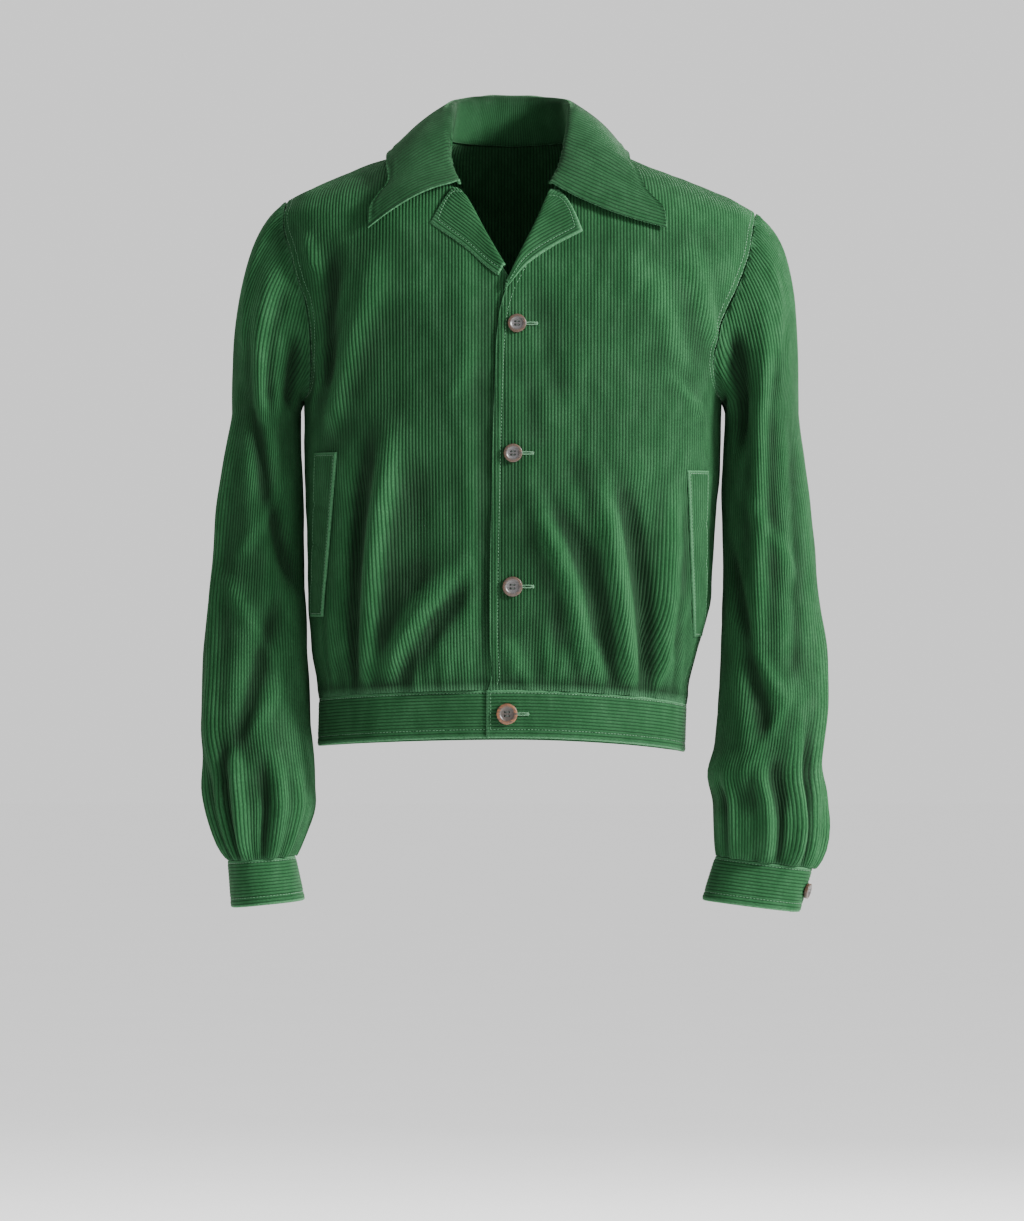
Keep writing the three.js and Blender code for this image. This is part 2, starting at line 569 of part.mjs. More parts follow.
// Radius of a rounded square ring, with half sizes of 1, at a turn.
function ringRadius(turn, power) {
  const angle = radians(turn);
  return Math.pow(Math.abs(Math.sin(angle)) ** power + Math.abs(Math.cos(angle)) ** power, -1 / power);
}

// A point on a cuff at a turn from its outer side, a share down its height and an inset.
function cuffPoint(side, turn, share, inset = 0) {
  const { top, bottom } = CUFFS[side];
  const size = (name) => lerp(top[name], bottom[name], share);
  const radius = ringRadius(turn, CUFF_SQUARENESS);
  const across = radius * Math.cos(radians(turn));
  const ahead = radius * Math.sin(radians(turn));
  return new THREE.Vector3(
    SIDES[side].sign * (size("x") + (size("half") - inset) * across),
    size("y") - (size("depth") - inset) * ahead,
    size("z") - (size("drop") / 2) * across,
  );
}

// A point on the hanging stretch of a sleeve, which narrows to the cuff's top ring.
function tubePoint(side, turn, z) {
  const rows = SLEEVES[side];
  const outer = read(rows, "z", "outer", z);
  const inner = read(rows, "z", "inner", z);
  const radius = ringRadius(turn, SLEEVE_SQUARENESS);
  const point = new THREE.Vector3(
    SIDES[side].sign * ((outer + inner) / 2 + ((outer - inner) / 2) * radius * Math.cos(radians(turn))),
    read(rows, "z", "y", z) - read(rows, "z", "depth", z) * radius * Math.sin(radians(turn)),
    z,
  );
  const end = cuffPoint(side, turn, 0);
  end.z += SEAM_GAP;
  const { z: endZ } = CUFFS[side].top;
  return point.lerp(end, 1 - ease(endZ, endZ + CUFF_GATHER_LENGTH, z));
}

// The armhole ring of a sleeve, from the shoulder tip over the front and underarm to the back.
function armholeRing(side) {
  const places = [];
  for (let step = 0; step < 2 * UPPER_ROWS; step += 1) {
    const panel = step <= UPPER_ROWS ? "front" : "back";
    const share = Math.abs(1 - step / UPPER_ROWS);
    const { turn, z } = armholePlace(side, panel, share);
    places.push(bodyPoint(turn, z));
  }
  return places.map(({ point, normal }, i) => {
    const next = places[(i + 1) % places.length].point;
    const before = places[(i + places.length - 1) % places.length].point;
    const away = normal.clone().cross(next.clone().sub(before)).normalize().multiplyScalar(SIDES[side].sign);
    return { point: point.clone().addScaledVector(away, ARMHOLE_GAP), normal };
  });
}

// A sleeve's cap, curving from the armhole to the first level ring.
function capPoint(side, start, turn, share) {
  const end = tubePoint(side, turn, SLEEVE_RING_Z);
  const reach = SLEEVE_FULLNESS * start.distanceTo(end);
  const leaving = new THREE.Vector3(SIDES[side].sign * 0.87, -0.3 * Math.sin(radians(turn)), -0.42);
  leaving.setLength(reach);
  const square = share * share;
  const cube = square * share;
  return start.clone().multiplyScalar(2 * cube - 3 * square + 1)
    .addScaledVector(leaving, cube - 2 * square + share)
    .addScaledVector(end, 3 * square - 2 * cube)
    .addScaledVector(new THREE.Vector3(0, 0, -reach), cube - square);
}

// Height added by a sleeve's folds at a turn and a share of its length.
function sleeveFolds(side, turn, along) {
  let height = 0;
  for (const fold of SLEEVE_FOLDS[side]) {
    const share = (along - fold.s1) / (fold.s2 - fold.s1);
    const centre = lerp(fold.turn1, fold.turn2, share);
    const apart = ((turn - centre + 540) % 360) - 180;
    height += foldShape(fold, radians(apart) * SLEEVE_GIRTH_RADIUS, share);
  }
  return height * ease(0, 0.06, along) * lerp(0.15, 1, 1 - ease(0.95, 1, along));
}

// One sleeve, from its armhole to its cuff seam.
function sleeve(side) {
  const { sign } = SIDES[side];
  const ring = armholeRing(side);
  const { z: endZ } = CUFFS[side].top;
  const shares = [];
  const grid = [];
  for (let row = 0; row <= CAP_ROWS + TUBE_ROWS; row += 1) {
    const cap = Math.min(row / CAP_ROWS, 1);
    const tube = Math.max((row - CAP_ROWS) / TUBE_ROWS, 0);
    const z = lerp(SLEEVE_RING_Z, endZ, 1 - Math.pow(1 - tube, 1.25));
    shares.push(lerp(0, CAP_SHARE, cap) + lerp(0, 1 - CAP_SHARE, tube));
    grid.push(ring.map(({ point }, i) => {
      const turn = (360 * i) / ring.length;
      return tube > 0 ? tubePoint(side, turn, z) : capPoint(side, point, turn, cap);
    }));
  }
  const rows = withNormals(grid, sign, true);
  rows[0] = ring;
  rows.forEach((row, i) => row.forEach(({ point, normal }, j) => {
    if (i > 0) point.addScaledVector(normal, sleeveFolds(side, (360 * j) / ring.length, shares[i]));
  }));
  return wall(rows, CLOTH, true);
}

// A band whose ends lap: rows of points from its over end round to its under end.
function lappedBand(pointAt, start, end, columns, sign) {
  const grid = [0, 0.5, 1].map((share) => {
    const line = [];
    for (let column = 0; column <= columns; column += 1) {
      const turn = lerp(start, end, column / columns);
      line.push(pointAt(turn, share, BAND_LAP_DEPTH * ease(end - 52, end - 30, turn)));
    }
    return line;
  });
  return wall(withNormals(grid, sign), DOUBLE_CLOTH);
}

function cuff(side) {
  const start = CUFFS[side].buttonTurn - CUFF_LAP_TURN;
  const pointAt = (turn, share, inset) => cuffPoint(side, turn, share, inset);
  return lappedBand(pointAt, start, start + 360 + 2 * CUFF_LAP_TURN, 28, SIDES[side].sign);
}

// A point on the waistband at a turn, a share down its height and an inset.
function bandPoint(turn, share, inset = 0) {
  const wrapped = turn > 180 ? turn - 360 : turn;
  const z = waistSeam(wrapped) - BAND_HEIGHT * share;
  return smoothBody(wrapped, z).addScaledVector(bodyNormal(wrapped, z), -inset);
}

function waistband() {
  const start = turnAt(BAND_OVER_END, WAIST_SEAM_Z);
  const end = 360 + turnAt(BAND_UNDER_END, WAIST_SEAM_Z);
  return lappedBand(bandPoint, start, end, 64, -1);
}

// The neckline seam at a share from the centre back to the gorge, moved in by the stand's thickness.
function neckPoint(side, share) {
  const { sign } = SIDES[side];
  const behind = Math.min(share / NECK_SEAM_SHARE, 1);
  const ahead = Math.max((share - NECK_SEAM_SHARE) / (1 - NECK_SEAM_SHARE), 0);
  const z = ahead > 0 ? lerp(NECK_POINT_Z, GORGE_Z[side], ahead) : NECK_POINT_Z - BACK_NECK_DROP * (1 - behind);
  const turn = ahead > 0 ? turnAt(read(INNER_EDGE[side], "z", "x", z), z) : sign * lerp(180, 90, behind);
  const point = bodyPoint(turn, z).point;
  const inward = new THREE.Vector3(-point.x, NECK_CENTRE_Y - point.y, 0).setLength(1);
  inward.lerp(new THREE.Vector3(-sign * 0.85, 0, 0.5), ease(0.1, 0.7, ahead));
  const seat = NECK_SEAT + GORGE_SEAT * ahead;
  return point.add(inward.setLength(DOUBLE_CLOTH + seat)).add(new THREE.Vector3(0, 0, NECK_SEAT));
}

// Moves a point out to where cloth of a given thickness lies clear of the body.
function clearOfBody(point, lift) {
  const { z } = point;
  if (z >= NECK_POINT_Z) return point;
  const turn = turnAt(point.x, z);
  const normal = bodyNormal(point.y > 0 ? Math.sign(turn) * 180 - turn : turn, z);
  const level = lift / Math.max(Math.hypot(normal.x, normal.y), 0.2);
  const power = read(BODY, "z", "square", z);
  const width = halfWidth(sideOf(point.x), z) + level;
  const depth = read(BODY, "z", point.y > 0 ? "back" : "front", z) + level;
  const reach = ((Math.abs(point.x) / width) ** power + (Math.abs(point.y) / depth) ** power) ** (1 / power);
  if (reach < 1) point.set(point.x / reach, point.y / reach, z);
  return point;
}

// One section of the collar, from the neckline over the roll line to the outer edge.
function collarSection(side, share) {
  const { sign } = SIDES[side];
  const roll = new THREE.Vector3(
    sign * read(ROLL_LINE[side], "c", "x", share),
    read(ROLL_LINE[side], "c", "y", share),
    read(ROLL_LINE[side], "c", "z", share),
  );
  const away = new THREE.Vector3(roll.x, roll.y - NECK_CENTRE_Y, 0).normalize();
  const neck = neckPoint(side, share);
  const over = (out, down) => roll.clone().addScaledVector(away, out).add(new THREE.Vector3(0, 0, -down));
  const turn = read(COLLAR_EDGE[side], "c", "turn", share);
  const edge = bodyPoint(sign * turn, read(COLLAR_EDGE[side], "c", "z", share), COLLAR_LIFT).point;
  const begin = over(ROLL_RADIUS + 1, ROLL_RADIUS * 0.7);
  const bow = begin.clone().lerp(edge, 0.45).addScaledVector(away, COLLAR_BOW).add(new THREE.Vector3(0, 0, 5));
  const curve = new THREE.QuadraticBezierCurve3(begin, bow, edge);
  const sag = COLLAR_END_SAG[side] * ease(0.8, 1, share);
  const inside = over(-ROLL_RADIUS * 0.6, ROLL_RADIUS * 0.9);
  const line = [neck, neck.clone().lerp(inside, 0.5), inside, roll];
  for (const t of [0, 0.25, 0.5, 0.75]) {
    const point = curve.getPoint(t);
    point.z -= sag * Math.sin(Math.PI * t);
    line.push(clearOfBody(point, COLLAR_LIFT));
  }
  line.push(edge);
  return line;
}

function collar() {
  const sections = [];
  for (let step = -COLLAR_SECTIONS; step <= COLLAR_SECTIONS; step += 1) {
    sections.push(collarSection(step < 0 ? "right" : "left", Math.abs(step) / COLLAR_SECTIONS));
  }
  return wall(withNormals(sections, -1), DOUBLE_CLOTH);
}

// One lapel, hooked over the roll line and lying on its front.
function lapel(side) {
  const { sign } = SIDES[side];
  const opening = new THREE.Vector3(-sign * 0.86, 0, 0.5);
  const grid = [];
  for (let row = 0; row <= LAPEL_ROWS; row += 1) {
    const share = row / LAPEL_ROWS;
    const z = lerp(GORGE_Z[side] - GORGE_GAP, BREAK_Z[side], share);
    const roll = new THREE.Vector2(read(INNER_EDGE[side], "z", "x", z), z);
    const edge = new THREE.Vector2(
      read(LAPEL_EDGE[side], "f", "x", share),
      read(LAPEL_EDGE[side], "f", "z", share),
    );
    const middle = roll.clone().add(edge).multiplyScalar(0.5);
    const notch = new THREE.Vector2(LAPEL_NOTCH[side].x, LAPEL_NOTCH[side].z).multiplyScalar(2).sub(middle);
    const curve = new THREE.QuadraticBezierCurve(roll, middle.clone().lerp(notch, (1 - share) ** 5), edge);
    const lip = 1 - 0.25 * ease(0.6, 1, share);
    const line = LAPEL_LIP.map(({ reach, lift }) => {
      const base = frontPoint(roll.x, roll.y, lift + lapInset(side, roll.x)).point;
      return base.addScaledVector(opening, reach * lip);
    });
    for (const { t, lift } of LAPEL_FALL) {
      const { x, y } = curve.getPoint(t);
      line.push(frontPoint(x, y, lift + lapInset(side, x)).point);
    }
    grid.push(line);
  }
  return wall(withNormals(grid, -sign), DOUBLE_CLOTH - 0.4);
}

// One pocket welt, made from the points of its front and moved out.
function welt(side) {
  const { sign } = SIDES[side];
  const { top, bottom, width } = WELTS[side];
  const rows = [];
  for (let row = 0; row <= WELT_ROWS; row += 1) {
    const z = lerp(bottom.z, top.z, row / WELT_ROWS);
    const start = Math.abs(turnAt(lerp(bottom.x, top.x, row / WELT_ROWS), z));
    const line = [];
    for (let column = 0; column <= WELT_COLUMNS; column += 1) {
      line.push(bodyPoint(sign * (start + (width * column) / WELT_COLUMNS), z, CLOTH + WELT_LIFT));
    }
    rows.push(line);
  }
  return wall(rows, CLOTH);
}

// Points of a circle as a path.
function circle(radius, x, y, sides) {
  const points = [];
  for (let i = 0; i < sides; i += 1) {
    const angle = (2 * Math.PI * i) / sides;
    points.push(new THREE.Vector2(x + radius * Math.cos(angle), y + radius * Math.sin(angle)));
  }
  return points;
}

// A four-hole button with its back at the origin, facing +Z.
function buttonShape(size) {
  const shape = new THREE.Shape(circle(size / 2, 0, 0, 24));
  for (let i = 0; i < 4; i += 1) {
    const angle = Math.PI / 4 + (Math.PI / 2) * i;
    const [x, y] = [BUTTON_HOLE_RING * Math.cos(angle), BUTTON_HOLE_RING * Math.sin(angle)];
    shape.holes.push(new THREE.Path(circle(BUTTON_HOLE_RADIUS, x, y, 6)));
  }
  return new THREE.ExtrudeGeometry(shape, { depth: BUTTON_THICKNESS, bevelEnabled: false });
}

const corduroy = () => new THREE.MeshStandardMaterial({ color: 0x1f6335, roughness: 0.9, metalness: 0 });
const horn = () => new THREE.MeshStandardMaterial({ color: 0x5a4636, roughness: 0.35, metalness: 0 });

const jacket = new THREE.Group();

function add(name, geometry, material) {
  const mesh = new THREE.Mesh(geometry, material);
  mesh.name = name;
  jacket.add(mesh);
  return mesh;
}

// Seats a button on a place with its face along the normal.
function addButton(name, size, point, normal) {
  const mesh = add(name, buttonShape(size), horn());
  mesh.position.copy(point).addScaledVector(normal, BUTTON_LIFT);
  mesh.quaternion.setFromUnitVectors(new THREE.Vector3(0, 0, 1), normal);
}

for (const side of ["left", "right"]) {
  add(`front_${side}`, front(side), corduroy());
  add(`sleeve_${side}`, sleeve(side), corduroy());
  add(`cuff_${side}`, cuff(side), corduroy());
  add(`lapel_${side}`, lapel(side), corduroy());
  add(`pocket_welt_${side}`, welt(side), corduroy());
}
add("back", back(), corduroy());
add("waistband", waistband(), corduroy());
add("collar", collar(), corduroy());

for (const { name, x, z, size } of FRONT_BUTTONS) {
  const { point, normal } = frontPoint(x, z);
  addButton(name, size, point, normal);
}
const bandTurn = turnAt(BAND_BUTTON.x, WAIST_SEAM_Z);
addButton(BAND_BUTTON.name, BAND_BUTTON.size, bandPoint(bandTurn, 0.5), bodyNormal(bandTurn, BAND_BUTTON.z));
for (const side of ["left", "right"]) {
  const { buttonTurn } = CUFFS[side];
  const point = cuffPoint(side, buttonTurn, 0.5);
  const around = cuffPoint(side, buttonTurn + 1, 0.5).sub(cuffPoint(side, buttonTurn - 1, 0.5));
  const down = cuffPoint(side, buttonTurn, 1).sub(cuffPoint(side, buttonTurn, 0));
  const normal = around.cross(down).multiplyScalar(SIDES[side].sign).normalize();
  addButton(`button_cuff_${side}`, CUFF_BUTTON_SIZE, point, normal);
}

export default jacket;
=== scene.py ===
import logging
import math
from collections.abc import Callable, Sequence
from dataclasses import dataclass, field
from enum import Enum
from functools import partial

import bpy
import numpy as np
from mathutils import Matrix, Vector


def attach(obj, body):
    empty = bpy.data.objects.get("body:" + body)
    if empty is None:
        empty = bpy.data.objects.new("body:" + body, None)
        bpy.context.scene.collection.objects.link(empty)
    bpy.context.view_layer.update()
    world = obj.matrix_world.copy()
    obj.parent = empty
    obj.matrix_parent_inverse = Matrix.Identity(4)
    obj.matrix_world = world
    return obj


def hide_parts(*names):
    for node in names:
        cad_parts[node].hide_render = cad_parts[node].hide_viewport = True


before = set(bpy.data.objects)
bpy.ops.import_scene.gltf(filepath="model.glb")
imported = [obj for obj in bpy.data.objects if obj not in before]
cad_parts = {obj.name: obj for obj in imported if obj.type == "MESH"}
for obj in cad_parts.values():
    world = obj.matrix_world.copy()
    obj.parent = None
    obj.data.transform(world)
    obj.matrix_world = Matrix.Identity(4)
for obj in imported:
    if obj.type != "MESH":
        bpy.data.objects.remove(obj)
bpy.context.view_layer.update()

LOG = logging.getLogger("jacket")
Array = np.ndarray
# Points and normals, or turns and heights.
Pair = tuple[np.ndarray, np.ndarray]
Piece = bpy.types.Object
Socket = bpy.types.NodeSocket
MM = 0.001

# Sizes of the cloth, and heights of its seams.
CLOTH = 2.0
DOUBLE_CLOTH = 2.8
SEAM_GAP = 0.3
ARMHOLE_GAP = 0.45
LAP_DEPTH = CLOTH + 1.0
BAND_LAP_DEPTH = DOUBLE_CLOTH + 1.0
NECK_POINT_Z = 15.0
UNDERARM_Z = -250.0
WAIST_SEAM_Z = -540.0
BAND_HEIGHT = 47.0
SLEEVE_RING_Z = -262.0
FOLD_GIRTH_RADIUS = 170.0

# Wales and rows, how much deeper than the solids' the cloth's folds are, and steps for the forms.
WALE_PITCH = 3.3
WALE_COLUMNS = 4
WALE_HEIGHT = 0.62
COLUMN_STEP = WALE_PITCH / WALE_COLUMNS
ROW_STEP = 7.5
FOLD_GAIN = 1.5
FAR = 99.0
SIDE_STEP = 0.4
CLOTH_SUFFIX = "_cloth"


def ease(low: float, high: float, at: Array) -> Array:
    """Smooth step from 0 at low to 1 at high."""
    t = np.clip((np.asarray(at, float) - low) / (high - low), 0, 1)
    return t * t * (3 - 2 * t)


def lerp(start: Array, end: Array, share: Array) -> Array:
    """Straight blend from start to end."""
    return start + (end - start) * share


def unit(vectors: Array) -> Array:
    """Vectors of length 1 along the last axis."""
    return vectors / np.maximum(np.linalg.norm(vectors, axis=-1, keepdims=True), 1e-9)


def hump(at: Array, width: float, centre: float = 0.0) -> Array:
    """Bell curve of height 1 round a centre."""
    return np.exp(-(((at - centre) / width) ** 2))


def wrapped(turn: Array) -> Array:
    """Turns from 180 to 360 degrees, brought under 180."""
    return np.where(turn > 180, turn - 360, turn)


def matched(*values: Array) -> list[Array]:
    """Arrays of floats of one shape."""
    return np.broadcast_arrays(*(np.asarray(value, float) for value in values))


def ring_radius(turn: Array, power: Array) -> Array:
    """Radius of a rounded square ring, with half sizes of 1, at turns."""
    sine, cosine = np.sin(np.radians(turn)), np.cos(np.radians(turn))
    return (np.abs(sine) ** power + np.abs(cosine) ** power) ** (-1 / power)


def along_line(values: Array, reach: Array, at: Array) -> Array:
    """Points or normals of a line at distances along it."""
    return np.stack([np.interp(at, reach, column) for column in values.T], axis=-1)


def crowded(share: Array) -> Array:
    """Share of the upper rows, crowded at the underarm and at the shoulder."""
    return np.sin(np.pi / 2 * (1 - (1 - share) ** 1.25)) ** 2


class Table:
    """Rows of named columns, read with a smooth curve that doesn't overshoot."""

    def __init__(self, columns: str, *rows: Sequence[float]) -> None:
        """Keeps the rows, which rise in their first column.

        Args:
            columns: the names of the columns, with spaces between them.
            rows: one sequence of values for each row.
        """
        self.rows = np.array(rows, float)
        self.at = self.rows[:, 0]
        self.columns = {}
        for name, y in zip(columns.split(), self.rows.T):
            slope = np.diff(y) / np.diff(self.at)
            product = slope[:-1] * slope[1:]
            total = np.where(product > 0, slope[:-1] + slope[1:], 1)
            inside = np.where(product > 0, 2 * product / total, 0)
            self.columns[name] = (y, np.concatenate([slope[:1], inside, slope[-1:]]))

    def read(self, column: str, at: Array) -> Array:
        """Values of a column where the first column has the given values."""
        x = self.at
        y, tangent = self.columns[column]
        at = np.clip(at, x[0], x[-1])
        i = np.clip(np.searchsorted(x, at, side="left") - 1, 0, len(x) - 2)
        span = x[i + 1] - x[i]
        t = (at - x[i]) / span
        square = t * t
        rise = square * (3 - 2 * t)
        return (
            y[i]
            + (y[i + 1] - y[i]) * rise
            + span * t * ((1 - t) ** 2 * tangent[i] - t * (1 - t) * tangent[i + 1])
        )


# Sections of the body by height: half widths, depths ahead and behind, squareness.
BODY = Table(
    "z right left front back square",
    (-600, 195, 176, 121, 113, 2.35),
    (-540, 194, 178, 122, 114, 2.35),
    (-502, 200, 187, 129, 121, 2.4),
    (-449, 204, 201, 133, 124, 2.5),
    (-377, 205, 205, 137, 127, 2.55),
    (-306, 207, 210, 139, 130, 2.6),
    (-250, 207, 211, 138, 132, 2.6),
    (-215, 210, 215, 136, 133, 2.65),
    (-180, 217, 226, 132, 133, 2.7),
    (-138, 229, 243, 126, 130, 2.7),
    (-100, 238, 251, 116, 123, 2.6),
    (-64, 238, 247, 103, 113, 2.55),
    (-50, 226, 228, 96, 107, 2.5),
    (-27, 178, 176, 82, 95, 2.4),
    (-12, 145, 134, 72, 85, 2.3),
    (0, 112, 106, 62, 75, 2.2),
    (15, 65, 65, 48, 60, 2.1),
)

SIGN = {"left": 1.0, "right": -1.0}
SHOULDER_TIP = {"left": -62.0, "right": -50.0}

# Armhole seams as seen from the front and from the back: distance from the centre by height.
ARMHOLES = {
    ("left", "front"): Table(
        "z x", (-250, 212), (-238, 206), (-215, 203), (-189, 206), (-165, 214),
        (-138, 227), (-103, 239), (-80, 243), (-62, 246),
    ),
    ("left", "back"): Table(
        "z x", (-250, 212), (-238, 207), (-215, 204), (-189, 207), (-138, 226),
        (-103, 237), (-80, 242), (-62, 246),
    ),
    ("right", "front"): Table(
        "z x", (-250, 208), (-238, 203), (-215, 201), (-180, 202), (-151, 206),
        (-134, 212), (-100, 221), (-72, 229), (-50, 225.9),
    ),
    ("right", "back"): Table(
        "z x", (-250, 208), (-238, 204), (-215, 202), (-180, 205), (-134, 214),
        (-100, 222), (-72, 229), (-50, 225.9),
    ),
}

# Inner edges of the fronts: the lapping edge, then the roll line, then the neckline seam.
INNER_EDGE = {
    "left": Table(
        "z x", (-540, -23), (-525, -19), (-490, -21), (-456, -21), (-330, -19),
        (-201, -15), (-166, -12), (-140, -5), (-124, 3), (-76, 27), (-34, 45),
        (-13, 57), (5, 64.5), (15, 65),
    ),
    "right": Table(
        "z x", (-540, 22), (-250, 22), (-170, 20), (-145, 10), (-126, -3), (-119, -7),
        (-86, -27), (-50, -47), (-33, -60), (-13, -66), (5, -67), (15, -65),
    ),
}


@dataclass(frozen=True)
class Fold:
    """A soft ridge or trough from its top to its foot, leaning over a valley on one side."""

    across1: float
    along1: float
    across2: float
    along2: float
    bow: float
    width: float
    rise: float
    valley: float = 0.0

    def height(self, distance: Array, share: Array) -> Array:
        """Height at a distance across the fold and a share along it."""
        fade = ease(-0.12, 0.3, share) * (1 - ease(0.9, 1.12, share))
        crest = hump(distance, self.width)
        if self.valley:
            crest = crest - 0.7 * hump(distance / self.width, 1, self.valley * 1.5)
        return FOLD_GAIN * self.rise * fade * crest


def folds(*rows: Sequence[float]) -> list[Fold]:
    """Folds from rows of across and along at the top and foot, bow, width, rise and valley."""
    return [Fold(*row) for row in rows]


FRONT_FOLDS = folds(
    (-178, -90, -185, -228, 0, 11, -5), (-205, -84, -197, -120, 0, 7, 3),
    (-130, -100, -178, -275, -2, 13, 5), (-119, -285, -144, -545, -6, 12, 9, -1),
    (-58, -425, -125, -540, -12, 12, 7, 1), (-36, -270, -34, -490, 0, 9, 2),
    (-92, -300, -96, -440, 0, 14, -3), (177, -92, 202, -190, 0, 10, 4),
    (28, -362, 75, -512, 8, 11, 6, 1), (90, -335, 120, -540, 4, 12, 10, 1),
    (162, -335, 146, -545, 2, 12, 7), (-8, -488, 20, -538, 0, 9, 3), (50, -500, 56, -545, 0, 7, 3),
    (84, -490, 90, -545, 0, 7, 4), (26, -125, 46, -245, 0, 13, -2.5),
)
BACK_FOLDS = folds(
    (-168, -300, -150, -548, 4, 13, 6, 1), (-132, -390, -122, -548, 0, 10, 5, -1),
    (-96, -330, -88, -548, 4, 13, 8, 1), (-52, -430, -56, -548, 0, 10, 4),
    (-12, -380, -18, -548, -3, 12, 5, 1), (24, -440, 22, -548, 0, 10, 4),
    (66, -345, 58, -548, -4, 13, 7, -1), (104, -400, 92, -548, 0, 10, 5),
    (146, -310, 124, -548, -4, 13, 7, -1), (-190, -120, -160, -225, 6, 15, 4),
    (192, -120, 160, -225, -6, 15, 4),
)

# Smaller creases that only the finished cloth has, in the same columns.
FINE_FRONT_FOLDS = folds(
    (-160, -120, -196, -210, 3, 6, 1.6), (-188, -205, -200, -262, 0, 6, 1.6),
    (-150, -330, -160, -420, 0, 9, -1.5), (-170, -470, -158, -545, 0, 7, 2.4),
    (-182, -430, -176, -545, 0, 6, 1.6), (-86, -470, -100, -545, 0, 6, 2.2),
    (-60, -500, -66, -545, 0, 6, 1.8), (-40, -500, -42, -545, 0, 6, 1.4),
    (-28, -180, -60, -250, 4, 8, 1.2), (120, -100, 170, -215, 6, 11, 2.2),
    (150, -215, 190, -262, 0, 8, 1.8), (12, -200, 26, -290, 0, 9, -1.4),
    (14, -318, 40, -400, 4, 8, 1.6), (60, -300, 88, -372, 0, 10, -1.8),
    (34, -470, 40, -545, 0, 6, 1.8), (70, -505, 74, -545, 0, 5, 1.8),
    (108, -480, 110, -545, 0, 6, 2.0), (160, -500, 157, -545, 0, 6, 2.0),
    (172, -440, 168, -545, 0, 7, 1.8),
)
FINE_BACK_FOLDS = folds(
    (-178, -230, -196, -300, 0, 10, 2), (178, -230, 196, -300, 0, 10, 2),
    (-150, -470, -138, -548, 0, 6, 2.2), (-112, -480, -106, -548, 0, 6, 2.0),
    (-74, -470, -72, -548, 0, 6, 2.2), (-36, -490, -38, -548, 0, 6, 1.8),
    (6, -480, 4, -548, 0, 6, 2.0), (42, -470, 40, -548, 0, 6, 2.2), (82, -490, 76, -548, 0, 6, 1.8),
    (122, -470, 110, -548, 0, 6, 2.2), (160, -480, 144, -548, 0, 6, 1.8),
    (-60, -60, -120, -130, 0, 16, 1.6), (60, -60, 120, -130, 0, 16, 1.6),
)

# Sleeve sections by height: distance of the outer and inner side, half depth, centre Y.
SLEEVES = {
    "left": Table(
        "z outer inner depth y",
        (-745, 303, 206, 40, -30),
        (-710, 309, 206, 44, -28),
        (-688, 314, 203, 54, -25),
        (-656, 311, 203, 61, -20),
        (-625, 307, 197, 64, -16),
        (-594, 310, 205, 66, -12),
        (-552, 315, 209, 67, -7),
        (-495, 314, 212, 69, -1),
        (-414, 307, 214, 72, 5),
        (-356, 301, 213, 74, 6),
        (-291, 293, 215, 77, 4),
        (-262, 290, 216, 79, 2),
    ),
    "right": Table(
        "z outer inner depth y",
        (-745, 285, 217, 46, -30),
        (-710, 287, 214, 50, -28),
        (-686, 296, 206, 58, -25),
        (-651, 304, 197, 64, -20),
        (-620, 308, 198, 66, -16),
        (-577, 313, 202, 67, -10),
        (-535, 311, 204, 68, -6),
        (-454, 306, 208, 71, 2),
        (-414, 301, 209, 72, 5),
        (-363, 296, 210, 74, 6),
        (-322, 290, 211, 75, 5),
        (-262, 281, 212, 78, 2),
    ),
}
SLEEVE_SQUARENESS = 2.3
SLEEVE_FULLNESS = 0.8
SLEEVE_GIRTH_RADIUS = 62.0
CAP_SHARE = 0.3

# Sleeve folds: turn and share of the length at the top and foot, bow, width, rise and valley.
SLEEVE_FOLDS = {
    "left": folds(
        (118, 0.02, 128, 0.34, 0, 12, -7), (84, 0.06, 108, 0.62, 0, 13, 6),
        (40, 0.3, 62, 0.72, 0, 14, -4), (150, 0.5, 96, 0.8, 0, 12, -5),
        (20, 0.6, 30, 0.9, 0, 13, 5), (92, 0.84, 88, 1.03, 0, 9, 6, -1),
        (56, 0.8, 54, 1.03, 0, 9, 7, -1), (14, 0.84, 12, 1.03, 0, 10, 5, -1),
    ),
    "right": folds(
        (78, 0.03, 84, 0.3, 0, 12, 5), (122, 0.05, 132, 0.25, 0, 9, -4),
        (64, 0.28, 138, 0.56, 0, 14, -6), (36, 0.26, 44, 0.96, 0, 12, 5),
        (120, 0.58, 70, 0.84, 0, 14, -5), (66, 0.82, 66, 1.03, 0, 9, 7, -1),
        (110, 0.84, 108, 1.03, 0, 10, 5, -1), (24, 0.84, 22, 1.03, 0, 10, 5, 1),
    ),
}
# Folds on the inner and hind side, the same on both sleeves.
INNER_SLEEVE_FOLDS = folds(
    (310, 0.05, 290, 0.5, 0, 15, 5), (250, 0.35, 300, 0.75, 0, 14, -5),
    (325, 0.8, 325, 1.03, 0, 10, 6, 1), (270, 0.82, 270, 1.03, 0, 10, 5, 1),
    (240, 0.5, 300, 0.62, 0, 10, 3), (300, 0.62, 240, 0.74, 0, 10, 3),
    (300, 0.86, 300, 1.03, 0, 7, 3), (235, 0.86, 235, 1.03, 0, 7, 3),
)

